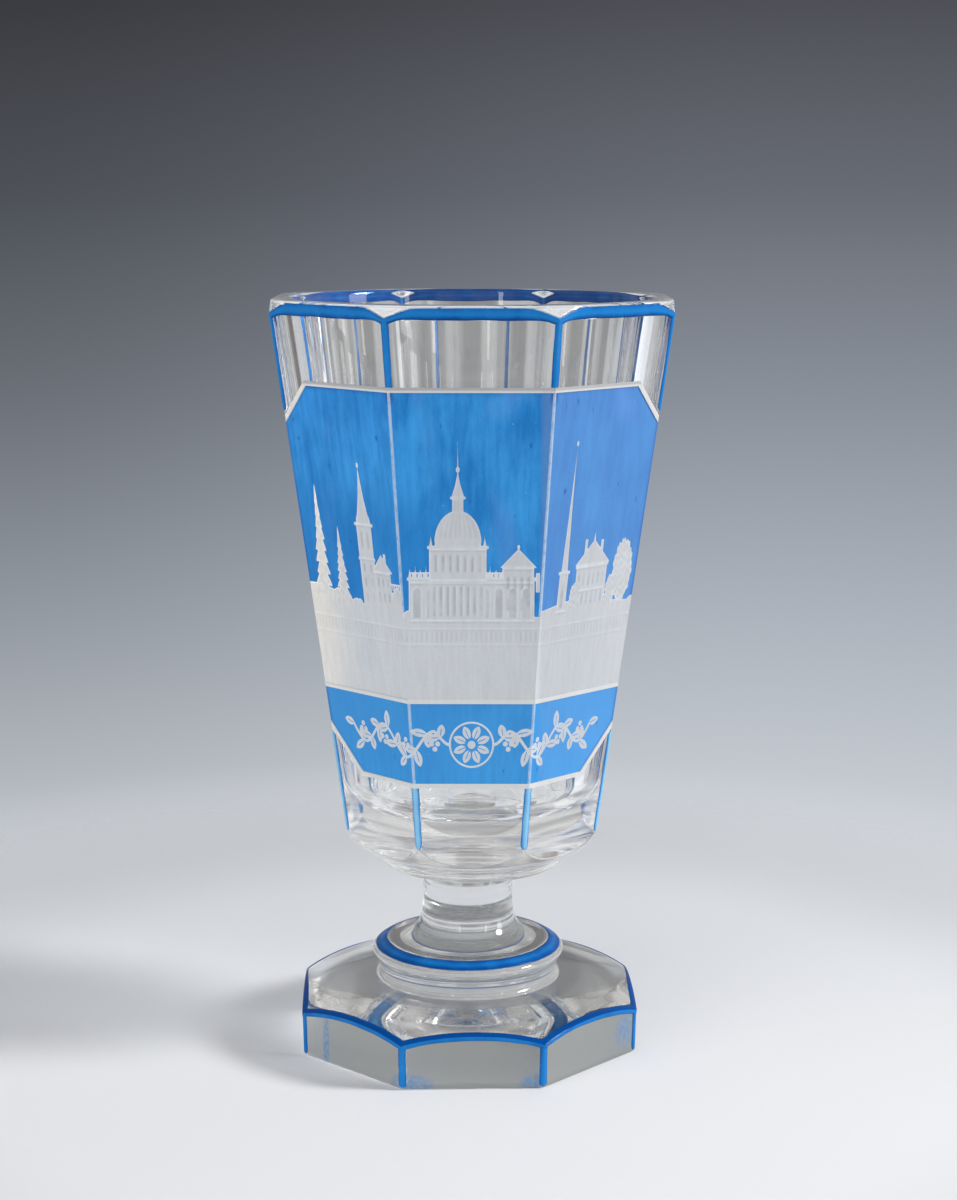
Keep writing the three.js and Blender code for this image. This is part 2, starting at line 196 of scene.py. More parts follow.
def ripple(angle, seed, waves, falloff):
    """A smooth random wave round the piece: a sum of sines with whole numbers of waves."""
    random = np.random.default_rng(seed)
    total = 0.0
    for count in waves:
        total = total + np.sin(count * angle + random.uniform(0, 2 * math.pi)) / count**falloff
    return total / sum(1 / count**falloff for count in waves)


def soft_least(first, second, width):
    """The lesser of two values, rounded where they meet: -width log(exp(-a/w) + exp(-b/w))."""
    gap = np.abs(first - second)
    return np.minimum(first, second) - width * np.log1p(np.exp(-gap / width))


# Mesh making


def build_mesh(name, points, faces, materials, face_slots=None, smooth=True, attributes=None):
    """A piece from points in mm (n, 3) and faces, a list of index arrays of one length each."""
    mesh = bpy.data.meshes.new(name)
    counts = np.concatenate([np.full(len(f), f.shape[1]) for f in faces])
    corners = np.concatenate([f.ravel() for f in faces]).astype(np.int32)
    mesh.vertices.add(len(points))
    mesh.vertices.foreach_set("co", (points * MM).astype(np.float32).ravel())
    mesh.loops.add(len(corners))
    mesh.loops.foreach_set("vertex_index", corners)
    mesh.polygons.add(len(counts))
    starts = np.concatenate([[0], np.cumsum(counts)[:-1]]).astype(np.int32)
    mesh.polygons.foreach_set("loop_start", starts)
    for material in materials:
        mesh.materials.append(material)
    if face_slots is not None:
        mesh.polygons.foreach_set("material_index", face_slots.astype(np.int32))
    mesh.polygons.foreach_set("use_smooth", np.full(len(counts), smooth))
    for attribute, values in (attributes or {}).items():
        layer = mesh.attributes.new(attribute, "FLOAT", "POINT")
        layer.data.foreach_set("value", values.astype(np.float32).ravel())
    mesh.update(calc_edges=True)
    mesh.validate()
    piece = bpy.data.objects.new(name, mesh)
    bpy.context.scene.collection.objects.link(piece)
    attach(piece, BODY)
    return piece


def turned_piece(name, rows, materials, zones=None, attributes=None):
    """A closed body from rows of points (rows, columns, 3) that run from pole to pole.

    The first and last row are each one point, and every row closes on itself. Rows run up the
    outside, so the faces look outwards. zones gives each row of faces, or face, its material.
    Attributes have one value for each point of each row.
    """
    count, columns = rows.shape[0] - 2, rows.shape[1]

    def pole_to_pole(grid):
        flat = grid[1:-1].reshape(count * columns, -1)
        return np.concatenate([grid[:1, 0].reshape(1, -1), flat, grid[-1:, 0].reshape(1, -1)])

    points = pole_to_pole(rows)
    values = {key: pole_to_pole(grid) for key, grid in (attributes or {}).items()}
    index = 1 + np.arange(count * columns).reshape(count, columns)
    onward = np.roll(index, -1, axis=1)
    quads = np.stack([index[:-1], onward[:-1], onward[1:], index[1:]], axis=-1).reshape(-1, 4)
    low_pole = np.stack([np.zeros(columns, int), onward[0], index[0]], axis=-1)
    high_pole = np.stack([index[-1], onward[-1], np.full(columns, len(points) - 1)], axis=-1)
    slots = None
    if zones is not None:
        zones = np.broadcast_to(zones.reshape(count + 1, -1), (count + 1, columns))
        slots = np.concatenate([zones[0], zones[1:-1].ravel(), zones[-1]])
    return build_mesh(name, points, [low_pole, quads, high_pole], materials, slots, True, values)


def ring_piece(name, rows, materials, attributes=None):
    """A closed ring: rows of points (rows, columns, 3) that close on themselves both ways."""
    count, columns = rows.shape[:2]
    index = np.arange(count * columns).reshape(count, columns)
    onward = np.roll(index, -1, axis=1)
    above, onward_above = np.roll(index, -1, axis=0), np.roll(onward, -1, axis=0)
    quads = np.stack([index, onward, onward_above, above], axis=-1).reshape(-1, 4)
    return build_mesh(name, rows.reshape(-1, 3), [quads], materials, None, True, attributes)


# Colours, linear

ETCH_COOL = (0.60, 0.625, 0.655)
# A warm light painted on at the far left of the etched matte
ETCH_WARM_LIGHT = (0.76, 0.74, 0.70)
# A shade painted over the right facet's etched matte
ETCH_RIGHT_SHADE = (0.51, 0.53, 0.555)
# Bluish clouds painted on the etched matte: show-through of what lies behind the glass
ETCH_SHOW_THROUGH = (0.53, 0.57, 0.63)
STAIN_DEEP = (0.004, 0.19, 0.55)
STAIN_LIGHT = (0.045, 0.355, 0.77)
STAIN_BAND = (0.075, 0.38, 0.76)
# A violet sheen painted on the right facet's stain
STAIN_RIGHT_SHEEN = (0.115, 0.245, 0.54)
STAIN_BLOOM = (0.16, 0.37, 0.77)
STAIN_POOL = (0.002, 0.075, 0.36)
# Pale stain: scuffs, specks and wear at the corners, which also carry a painted edge highlight
STAIN_WEAR_AND_HIGHLIGHT = (0.48, 0.60, 0.74)
# Pale enamel, where it is thin, and where a highlight or light is painted on
ENAMEL_THIN_AND_LIT = (0.23, 0.50, 0.72)
ENAMEL_LIGHT = (0.012, 0.175, 0.50)
ENAMEL_DEEP = (0.001, 0.055, 0.25)
# Blue of the painted reflections of the lines in the foot's facets
REFLECTED_LINE_BLUE = (0.01, 0.16, 0.42)
OUTLINE_TINT = (0.70, 0.69, 0.67)
OUTLINE_TOP = (0.38, 0.38, 0.39)
CLEAR_TINT = (0.985, 0.99, 0.988)
STEM_TINT = (0.915, 0.92, 0.93)
# Darker glass on the collar's top round the stem's foot: painted shade
SEAT_SHADE_TINT = (0.60, 0.57, 0.55)
# Pale film: specks, and the wear and painted light on the heel, the stem and the collar
PALE_FILM = (0.84, 0.83, 0.81)
DOME_FILM = (0.7, 0.7, 0.69)
# Film of the cavity's pale streaks: haze and painted light
STREAK_FILM = (0.52, 0.49, 0.46)
SATIN_FILM = (0.205, 0.215, 0.21)
BASE_FILM = (0.6, 0.6, 0.6)

# What glass lets through of the lamps' light
LAMP_SHARE = (0.57, 0.58, 0.59)
LAMP_SHARE_SATIN = (0.4, 0.4, 0.41)
LAMP_SHARE_BASE = (0.42, 0.43, 0.45)

# Noise over the pieces: its rates per mm along x, y and z, its octaves, a place in it and, where
# it isn't 0.55, its roughness
ETCH_CLOUDS = ((0.13, 0.13, 0.1), 2.0, (3, 1, 2))
ETCH_STREAKS = ((1.3, 1.3, 0.09), 4.0, (1, 5, 2))
ETCH_GRAIN = ((5.5, 5.5, 5.5), 2.0, (7, 2, 2))
ETCH_WORKED = ((0.35, 0.35, 0.35), 2.0, (4, 4, 1))
STAIN_STREAKS = ((0.85, 0.85, 0.035), 5.0, (2, 3, 5), 0.6)
STAIN_CLOUDS = ((0.1, 0.1, 0.07), 3.0, (5, 1, 3))
STAIN_GRAIN = ((3.2, 3.2, 1.6), 3.0, (1, 2, 8))
STAIN_BLOOMS = ((0.09, 0.09, 0.05), 2.0, (8, 8, 4))
STAIN_SCUFFS = ((2.6, 2.6, 1.7), 4.0, (9, 3, 1), 0.7)
STAIN_SCUFFED = ((0.12, 0.12, 0.09), 2.0, (2, 9, 9))
STAIN_RAGGED = ((1.5, 1.5, 0.8), 2.0, (6, 6, 2))
ENAMEL_MOTTLE = ((0.3, 0.3, 0.2), 3.0, (4, 2, 6))
ENAMEL_GRAIN = ((4.0, 4.0, 2.5), 2.0, (1, 1, 5))
BASE_WEAR = ((0.8, 0.8, 0.8), 4.0, (2, 6, 6))
CUT_RIPPLES = ((0.14, 0.14, 0.03), 1.0, (1, 4, 4))
HEEL_MARKS_AND_LIGHT = ((0.06, 0.06, 0.9), 4.0, (3, 8, 1))
WALL_STREAKS_AND_LIGHT = ((0.5, 0.5, 0.008), 5.0, (3, 3, 7), 0.65)
REFLECTION_BREAKS = ((1.2, 1.2, 1.2), 4.0, (7, 7, 3))
SATIN_GRAIN = ((6.0, 6.0, 6.0), 2.0, (2, 1, 1))

# Specks on the pieces: cells per mm, the largest radius in mm and a place in the pattern
STAIN_SPECKS = (0.42, 0.13, (3, 7, 1))
CUT_SPECKS = (0.45, 0.12, (2, 2, 5))
DOME_SPECKS = (0.4, 0.1, (1, 6, 5))
THICK_SPECKS = (0.35, 0.1, (5, 2, 6))
BLOWN_SPECKS = (0.3, 0.12, (5, 2, 1))
SATIN_SPECKS = (1.1, 0.11, (4, 4, 4))

# Painted reflections of the blue lines in the foot's satin facets: middle and half sizes in mm
BLUE_LINE_REFLECTIONS = (
    ((-11.6, -31.4, 0.8), (6.0, 3.0, 2.6)),
    ((29.6, -15.6, 5.0), (3.4, 4.6, 5.0)),
    ((11.0, -31.0, 1.0), (2.6, 3.0, 2.2)),
    ((-26.8, -18.0, 3.5), (0.8, 3.0, 8.0)),
)

# Where the looks change over the piece, as ramps in mm. Along x: the right facet's start, where
# its painted shade and sheen begin, the far left, where a warm light is painted on, and how the
# lower stain deepens to the left. In height: where the stain deepens and thins downwards, where
# the heel's pale film of wear and painted light sets in, and where the cavity's pale streaks
# begin and end.
RIGHT_FACET = (11.4, 12.6)
LIT_FAR_LEFT = (-19.0, -29.0)
STAIN_DEEP_SIDE = (10.0, -12.0)
STAIN_DEEPENS = (112.0, 99.0)
STAIN_THINS = (62.0, 54.5)
HEEL_WEAR_AND_LIGHT = (53.5, 50.0)
STREAKS_BEGIN = (60.0, 90.0)
STREAKS_END = (136.5, 133.5)

GLASS_IOR = 1.52


# Material making


def connect(tree, socket, value):
    """Link a socket to another one, or give it a plain value."""
    if isinstance(value, bpy.types.NodeSocket):
        tree.links.new(value, socket)
    else:
        socket.default_value = value


def add_node(tree, kind, inputs=None, **settings):
    """A shader node with its settings, and its sockets set or linked from other sockets."""
    node = tree.nodes.new("ShaderNode" + kind)
    for key, value in settings.items():
        setattr(node, key, value)
    for key, value in (inputs or {}).items():
        connect(tree, node.inputs[key], value)
    return node


def result(tree, kind, inputs=None, **settings):
    """The first output of a new shader node."""
    return add_node(tree, kind, inputs, **settings).outputs[0]


def math_node(tree, operation, *values, clamp=False):
    inputs = dict(enumerate(values))
    return result(tree, "Math", inputs, operation=operation, use_clamp=clamp)


def times(tree, first, second, plus=None):
    """One value times another, with a third added where it is given."""
    if plus is None:
        return math_node(tree, "MULTIPLY", first, second)
    return math_node(tree, "MULTIPLY_ADD", first, second, plus)


def ramp_value(tree, value, low, high, to_low=0.0, to_high=1.0):
    """A value mapped from low..high to to_low..to_high, clamped and smooth at both ends."""
    sockets = {"Value": value, "From Min": low, "From Max": high, "To Min": to_low, "To Max": to_high}
    return result(tree, "MapRange", sockets, interpolation_type="SMOOTHSTEP")


# The numbers of a Mix node's sockets by its kind: factor, first value, second value and result
MIX_SOCKETS = {"RGBA": (0, 6, 7, 2), "VECTOR": (0, 4, 5, 1)}


def mix(tree, factor, first, second, kind="RGBA", blend="MIX"):
    """Two colours or vectors mixed by a factor. A plain colour has three values."""
    node = add_node(tree, "Mix", data_type=kind, blend_type=blend)
    *numbers, made = MIX_SOCKETS[kind]
    for number, value in zip(numbers, (factor, first, second)):
        connect(tree, node.inputs[number], (*value, 1) if isinstance(value, tuple) else value)
    return node.outputs[made]


def mix_shaders(tree, factor, first, second):
    return result(tree, "MixShader", {0: factor, 1: first, 2: second})


def mapped(tree, place, scale):
    """The piece's own coordinates in metres, scaled and moved."""
    coordinates = add_node(tree, "TexCoord").outputs["Object"]
    return result(tree, "Mapping", {"Vector": coordinates, "Location": place, "Scale": scale})


def noise_in_mm(tree, per_mm, detail, place, roughness=0.55):
    vector = mapped(tree, place, tuple(rate / MM for rate in per_mm))
    sockets = {"Vector": vector, "Scale": 1.0, "Detail": detail, "Roughness": roughness}
    return add_node(tree, "TexNoise", sockets).outputs["Fac"]


def patches(tree, noise, *limits):
    """Noise mapped by ramp_value's limits."""
    return ramp_value(tree, noise_in_mm(tree, *noise), *limits)


def specks_in_mm(tree, per_mm, radius, place):
    """Scattered round specks: points of a cell pattern, each with its own size or none."""
    vector = mapped(tree, place, (per_mm / MM,) * 3)
    cells = add_node(tree, "TexVoronoi", {"Vector": vector, "Scale": 1.0})
    random = result(tree, "SeparateColor", {0: cells.outputs["Color"]})
    size = times(tree, ramp_value(tree, random, 0.45, 1.0), radius * per_mm)
    inside = math_node(tree, "SUBTRACT", size, cells.outputs["Distance"])
    return math_node(tree, "MULTIPLY", inside, 6 / (radius * per_mm), clamp=True)


def place_in_mm(tree):
    """The piece's own X, Y and Z in mm."""
    coordinates = add_node(tree, "TexCoord").outputs["Object"]
    scaled = result(tree, "VectorMath", {0: coordinates, "Scale": 1 / MM}, operation="SCALE")
    return add_node(tree, "SeparateXYZ", {0: scaled}).outputs


def bumped(tree, height, distance_mm, strength=1.0):
    sockets = {"Height": height, "Distance": distance_mm * MM, "Strength": strength}
    return result(tree, "Bump", sockets)


def attribute(tree, name):
    return add_node(tree, "Attribute", attribute_name=name).outputs["Fac"]


def look_group(name, inputs, look):
    """A shader group with value inputs, which puts out look's colour and normal."""
    tree = bpy.data.node_groups.new(name, "ShaderNodeTree")
    for key in inputs:
        tree.interface.new_socket(key, in_out="INPUT", socket_type="NodeSocketFloat")
    for key, kind in (("Color", "Color"), ("Normal", "Vector")):
        tree.interface.new_socket(key, in_out="OUTPUT", socket_type="NodeSocket" + kind)
    given = tree.nodes.new("NodeGroupInput").outputs
    made = tree.nodes.new("NodeGroupOutput").inputs
    for key, value in zip(("Color", "Normal"), look(tree, given)):
        tree.links.new(value, made[key])
    return tree


def use_group(tree, group, inputs):
    """The colour and the normal that a shader group makes from its inputs."""
    node = tree.nodes.new("ShaderNodeGroup")
    node.node_tree = group
    for key, value in inputs.items():
        connect(tree, node.inputs[key], value)
    return node.outputs["Color"], node.outputs["Normal"]


def new_material(name, surface, *given):
    """A material whose surface is the shader that surface(tree, *given) makes."""
    material = bpy.data.materials.new(name)
    material.use_nodes = True
    tree = material.node_tree
    tree.nodes.clear()
    output = tree.nodes.new("ShaderNodeOutputMaterial")
    tree.links.new(surface(tree, *given), output.inputs["Surface"])
    return material


# Looks that several materials share


def etched_look(tree, given):
    """Fine ground matte: cool grey, with grain and engraving, a warm light painted on at the far
    left, a shade painted over the right facet, and bluish clouds painted on as show-through.
    """
    x = place_in_mm(tree)["X"]
    # Painted light, warm at the far left, and painted shade over the right facet
    colour = mix(tree, ramp_value(tree, x, *LIT_FAR_LEFT), ETCH_COOL, ETCH_WARM_LIGHT)
    colour = mix(tree, ramp_value(tree, x, *RIGHT_FACET), colour, ETCH_RIGHT_SHADE)
    # Painted show-through: bluish clouds of what lies behind the glass
    painted_blue = times(tree, patches(tree, ETCH_CLOUDS, 0.52, 0.72), 0.5)
    colour = mix(tree, painted_blue, colour, ETCH_SHOW_THROUGH)
    streak = noise_in_mm(tree, *ETCH_STREAKS)
    grain = noise_in_mm(tree, *ETCH_GRAIN)
    shade = times(tree, math_node(tree, "SUBTRACT", streak, 0.5), 0.22, 1.0)
    shade = times(tree, math_node(tree, "SUBTRACT", grain, 0.5), 0.16, shade)
    bright = times(tree, math_node(tree, "MAXIMUM", given["Engrave"], 0.0), 0.24)
    dark = times(tree, math_node(tree, "MINIMUM", given["Engrave"], 0.0), 0.25)
    depth = patches(tree, ETCH_WORKED, 0.3, 0.62, 0.3, 1.0)
    shade = times(tree, math_node(tree, "ADD", bright, dark), depth, shade)
    colour = mix(tree, 1.0, colour, shade, blend="MULTIPLY")
    return colour, bumped(tree, times(tree, given["Engrave"], 0.5, grain), 0.02, 0.6)


def stain_look(tree, given):
    """Brushed blue stain: upright streaks, clouds, pooled dark lines and scuffs, a painted violet sheen
    on the right facet, and pale corners, which show wear and carry a painted edge highlight.
    """
    x, _, z = place_in_mm(tree)
    streak = noise_in_mm(tree, *STAIN_STREAKS)
    cloud = noise_in_mm(tree, *STAIN_CLOUDS)
    fine = noise_in_mm(tree, *STAIN_GRAIN)
    brushed = times(tree, fine, 0.14, times(tree, cloud, 0.75, times(tree, streak, 0.55)))
    rightward = ramp_value(tree, x, *RIGHT_FACET)
    bloom = patches(tree, STAIN_BLOOMS, 0.55, 0.78)
    lower = ramp_value(tree, z, *STAIN_DEEPENS)
    lower = times(tree, lower, ramp_value(tree, x, *STAIN_DEEP_SIDE))
    in_band = ramp_value(tree, z, DIVIDER_TOP, DIVIDER_FOOT, 0.0, 0.45)
    thin = ramp_value(tree, z, *STAIN_THINS, 0.0, 0.5)
    thin = times(tree, thin, ramp_value(tree, streak, 0.35, 0.65))
    scuff = patches(tree, STAIN_SCUFFS, 0.62, 0.74)
    scuff = times(tree, scuff, patches(tree, STAIN_SCUFFED, 0.48, 0.62))
    scuff = times(tree, scuff, times(tree, rightward, 0.3, 0.1))
    # Pale corners: wear of the stain, with a highlight painted along the glass's edge
    wear_and_light = ramp_value(tree, given["Corner"], 0.36, 0.17)
    wear_and_light = times(tree, wear_and_light, patches(tree, STAIN_RAGGED, 0.3, 0.55, 0.5, 0.85))
    layers = (
        # Painted sheen: violet over the right facet
        (times(tree, rightward, 0.62), STAIN_RIGHT_SHEEN),
        (times(tree, bloom, 0.45), STAIN_BLOOM),
        (times(tree, lower, 0.6), STAIN_DEEP),
        (in_band, STAIN_BAND),
        (thin, STAIN_LIGHT),
        (given["Pool"], STAIN_POOL),
        (scuff, STAIN_WEAR_AND_HIGHLIGHT),
        (times(tree, specks_in_mm(tree, *STAIN_SPECKS), 0.5), STAIN_WEAR_AND_HIGHLIGHT),
        (wear_and_light, STAIN_WEAR_AND_HIGHLIGHT),
    )
    colour = mix(tree, ramp_value(tree, brushed, 0.48, 0.98), STAIN_DEEP, STAIN_LIGHT)
    for share, layer in layers:
        colour = mix(tree, share, colour, layer)
    relief = times(tree, streak, 0.7, times(tree, fine, 0.3))
    return colour, bumped(tree, relief, 0.05, 0.35)


def enamel_look(tree, given):
    """Fired enamel by its tone: pale below 0 where it is thin, deep near 1 where it gathered. Low
    tones also stand for painted light: the corner lines' highlight and the collar ring's back.
    """
    mottle = noise_in_mm(tree, *ENAMEL_MOTTLE)
    tone = times(tree, math_node(tree, "SUBTRACT", mottle, 0.5), 0.6)
    tone = math_node(tree, "ADD", tone, given["Tone"])
    colour = mix(tree, ramp_value(tree, tone, -0.6, 0.25), ENAMEL_THIN_AND_LIT, ENAMEL_LIGHT)
    colour = mix(tree, ramp_value(tree, tone, 0.25, 0.95), colour, ENAMEL_DEEP)
    shade = times(tree, noise_in_mm(tree, *ENAMEL_GRAIN), 0.3, 0.85)
    colour = mix(tree, 1.0, colour, shade, blend="MULTIPLY")
    return colour, bumped(tree, mottle, 0.08, 0.5)


ETCHED_LOOK = look_group("etched_look", ["Engrave"], etched_look)
STAIN_LOOK = look_group("stain_look", ["Pool", "Corner"], stain_look)
ENAMEL_LOOK = look_group("enamel_look", ["Tone"], enamel_look)


# Glass


def glass_shader(tree, roughness=0.0, normal=None, tint=CLEAR_TINT):
    sockets = {
        "Base Color": (*tint, 1),
        "Roughness": roughness,
        "IOR": GLASS_IOR,
        "Transmission Weight": 1.0,
    }
    if normal:
        sockets["Normal"] = normal
    return result(tree, "BsdfPrincipled", sockets)


def dusted(tree, glass, mask, colour, roughness=0.6):
    """Glass with a matte film or specks over it where the mask is above zero."""
    film = result(tree, "BsdfPrincipled", {"Base Color": (*colour, 1), "Roughness": roughness})
    return mix_shaders(tree, mask, glass, film)


def lamps_pass(tree, shader, share=LAMP_SHARE):
    """Glass that lets a share of the lamps' light through to what stands behind it."""
    clear = result(tree, "BsdfTransparent", {"Color": (*share, 1)})
    for_shadow = add_node(tree, "LightPath").outputs["Is Shadow Ray"]
    return mix_shaders(tree, for_shadow, shader, clear)


def fused_seam(tree):
    """Where two layers of glass are fused, light passes straight on: alpha 0 everywhere."""
    return result(tree, "BsdfPrincipled", {"Alpha": 0.0, "Roughness": 1.0})


def base_glass(tree):
    """The foot's underside, which lets less light down to the table that it stands on."""
    mask = patches(tree, BASE_WEAR, 0.55, 0.75, 0.02, 0.12)
    return lamps_pass(tree, dusted(tree, glass_shader(tree), mask, BASE_FILM), LAMP_SHARE_BASE)


def cut_glass(tree):
    """Polished cut facets, with faint polishing ripples, small pale specks and a pale film on the
    heel, which is wear and painted light.
    """
    glass = glass_shader(tree, normal=bumped(tree, noise_in_mm(tree, *CUT_RIPPLES), 0.02))
    # The heel's pale film: wear and painted light
    at_heel = ramp_value(tree, place_in_mm(tree)["Z"], *HEEL_WEAR_AND_LIGHT)
    heel = times(tree, patches(tree, HEEL_MARKS_AND_LIGHT, 0.35, 0.7, 0.04, 0.29), at_heel)
    specks = times(tree, specks_in_mm(tree, *CUT_SPECKS), 0.75)
    mask = math_node(tree, "MAXIMUM", specks, heel)
    return lamps_pass(tree, dusted(tree, glass, mask, PALE_FILM))


def dome_glass(tree):
    """The foot's domed top and the bowl's rim: smooth, with a few fine pale specks."""
    mask = times(tree, specks_in_mm(tree, *DOME_SPECKS), 0.5)
    return lamps_pass(tree, dusted(tree, glass_shader(tree), mask, DOME_FILM))


def thick_glass(tree, tint, wear_and_light=0.0):
    """The thick glass of the stem and the collar, with fine specks and a share of pale film, which is
    wear and painted light.
    """
    mask = times(tree, specks_in_mm(tree, *THICK_SPECKS), 0.5, wear_and_light)
    return lamps_pass(tree, dusted(tree, glass_shader(tree, tint=tint), mask, PALE_FILM))


def blown_glass(tree):
    """The bowl's inside: smooth, with pale specks, and pale streaks down the wall: haze with
    painted streaks of refracted light.
    """
    z = place_in_mm(tree)["Z"]
    # Pale streaks down the wall: haze and painted light
    wall = ramp_value(tree, z, *STREAKS_BEGIN, 0.0, 0.13)
    wall = times(tree, wall, ramp_value(tree, z, *STREAKS_END))
    streaks = times(tree, patches(tree, WALL_STREAKS_AND_LIGHT, 0.44, 0.66), wall)
    specks = times(tree, specks_in_mm(tree, *BLOWN_SPECKS), 0.6)
    mask = math_node(tree, "MAXIMUM", streaks, specks)
    return lamps_pass(tree, dusted(tree, glass_shader(tree), mask, STREAK_FILM))


def blue_reflection_mask(tree):
    """1 inside the painted blue reflections, falling to 0 at their edges, and broken up by noise."""
    place = place_in_mm(tree)
    most = 0.0
    for middle, half in BLUE_LINE_REFLECTIONS:
        squares = 0.0
        for value, centre, reach in zip(place, middle, half):
            offset = math_node(tree, "DIVIDE", math_node(tree, "SUBTRACT", value, centre), reach)
            squares = times(tree, offset, offset, squares)
        most = math_node(tree, "MAXIMUM", ramp_value(tree, squares, 1.0, 0.1), most)
    return times(tree, most, patches(tree, REFLECTION_BREAKS, 0.35, 0.6, 0.25, 0.9))


def ground_glass(tree):
    """The foot's facets: ground to a satin, with fine pale dots and a few painted reflections of the
    blue lines.
    """
    grain = bumped(tree, noise_in_mm(tree, *SATIN_GRAIN), 0.01, 0.5)
    mask = times(tree, specks_in_mm(tree, *SATIN_SPECKS), 0.3, 0.64)
    satin = dusted(tree, glass_shader(tree, 0.34, grain), mask, SATIN_FILM, 0.45)
    # Painted reflections of the blue lines
    painted_blue = times(tree, blue_reflection_mask(tree), 0.6)
    return lamps_pass(tree, dusted(tree, satin, painted_blue, REFLECTED_LINE_BLUE, 0.45), LAMP_SHARE_SATIN)


# Fired and ground skins


def skin(tree, colour, normal, roughness, glow, gloss=0.5):
    """A thin fired or ground skin: glossy or matte paint, through which some light glows."""
    sockets = {"Base Color": colour, "Roughness": roughness, "Normal": normal}
    paint = result(tree, "BsdfPrincipled", {**sockets, "Specular IOR Level": gloss})
    through = result(tree, "BsdfTranslucent", {"Color": colour, "Normal": normal})
    return mix_shaders(tree, glow, paint, through)


def blue_enamel(tree):
    look = use_group(tree, ENAMEL_LOOK, {"Tone": attribute(tree, "tone")})
    return skin(tree, *look, roughness=0.12, glow=0.18, gloss=0.07)


def blue_stain(tree):
    """The stain, with the band's garland etched through it where the etch distance is below 0, and
    a highlight painted along the garland's edge.
    """
    inputs = {"Pool": attribute(tree, "pool"), "Corner": attribute(tree, "corner")}
    stain_colour, stain_normal = use_group(tree, STAIN_LOOK, inputs)
    distance = attribute(tree, "etch")
    cut = ramp_value(tree, distance, 0.05, -0.05)
    # A highlight painted along the garland's edge
    rim = ramp_value(tree, distance, -0.16, -0.04, 0.0, 0.6)
    matte_colour, matte_normal = use_group(tree, ETCHED_LOOK, {"Engrave": rim})
    colour = mix(tree, cut, stain_colour, matte_colour)
    normal = mix(tree, cut, stain_normal, matte_normal, "VECTOR")
    return skin(tree, colour, normal, times(tree, cut, 0.35, 0.16), glow=0.3, gloss=0.35)


def etched_glass(tree):
    look = use_group(tree, ETCHED_LOOK, {"Engrave": attribute(tree, "engrave")})
    return skin(tree, *look, roughness=0.6, glow=0.35)


def etched_outline(tree):
    """The panel's outline: the same matte, paler and warmer, and plainly worked."""
    colour, normal = use_group(tree, ETCHED_LOOK, {"Engrave": 0.2})
    colour = mix(tree, 0.55, colour, OUTLINE_TINT)
    z = place_in_mm(tree)["Z"]
    at_top = ramp_value(tree, z, PANEL_TOP - 0.75, PANEL_TOP - 0.3, 0.0, 0.85)
    return skin(tree, mix(tree, at_top, colour, OUTLINE_TOP), normal, roughness=0.6, glow=0.3)


SEAM = new_material("fused_seam", fused_seam)
CUT_GLASS = new_material("cut_glass", cut_glass)
DOME_GLASS = new_material("dome_glass", dome_glass)
# The stem and the collar carry a pale film of wear and painted light
STEM_GLASS = new_material("stem_glass", thick_glass, STEM_TINT, 0.03)
SEAT_SHADE_GLASS = new_material("seat_shade_glass", thick_glass, SEAT_SHADE_TINT)
COLLAR_GLASS = new_material("collar_glass", thick_glass, CLEAR_TINT, 0.16)
BLOWN_GLASS = new_material("blown_glass", blown_glass)
GROUND_GLASS = new_material("ground_glass", ground_glass)
BASE_GLASS = new_material("base_glass", base_glass)
ENAMEL = new_material("blue_enamel", blue_enamel)
STAIN = new_material("blue_stain", blue_stain)
ETCHED = new_material("etched_glass", etched_glass)
ETCHED_OUTLINE = new_material("etched_outline", etched_outline)


# Bowl


def bowl_apothem(height):
    return RIM_APOTHEM - (RIM_TOP - height) * math.tan(TILT)


# The middle of the heel's arc, and sizes in mm: how wide creases are rounded, how far below its
# full height the disc's wall ends, how far above the facets' foot the level rows start, and the
# bevel's least height. HALVINGS is how often an interval is halved to find a facet's start.
HEEL_CENTRE_RADIUS = HEEL_APOTHEM / COS_HALF - HEEL_RADIUS * math.cos(HEEL_CORNER)
HEEL_CENTRE_HEIGHT = FACET_FOOT - HEEL_RADIUS * math.sin(HEEL_CORNER)
CREASE = 0.06
DISC_CREASE = 0.15
LEVEL_START = 0.3
BEVEL_LEAST = 0.3
HALVINGS = 40

# Counts of rows: over the heel's arc, in each run to a crease, over a lip, down the cavity's
# wall, round its lower edge and over its floor
HEEL_ROWS = 14
CREASE_ROWS = 6
LIP_ROWS = 7
WALL_ROWS = 40
EDGE_ROWS = 14
FLOOR_ROWS = 9


def bowl_radius(angle, height):
    """The side's radius: the rounded least of the facets' and the heel arc's radii.

    Above its centre the heel arc goes on outwards at a slope of one, clear of the facets.
    """
    above = height - HEEL_CENTRE_HEIGHT
    sunk = np.clip(above / HEEL_RADIUS, -1, 0)
    heel = HEEL_CENTRE_RADIUS + HEEL_RADIUS * np.sqrt(1 - sunk**2) + np.maximum(above, 0)
    return soft_least(octagon(angle, bowl_apothem(height), CORNER_ROUND), heel, CREASE)


def heel_limits(angle):
    """The heel arc's angle where each column's facet starts, by halving the interval."""
    low = np.full(angle.shape, HEEL_START)
    high = np.full(angle.shape, math.radians(-2))
    for _ in range(HALVINGS):
        middle = (low + high) / 2
        radius = HEEL_CENTRE_RADIUS + HEEL_RADIUS * np.cos(middle)
        height = HEEL_CENTRE_HEIGHT + HEEL_RADIUS * np.sin(middle)
        inside = radius < bowl_apothem(height) / np.cos(off_middle(angle))
        low = np.where(inside, middle, low)
        high = np.where(inside, high, middle)
    return (low + high) / 2


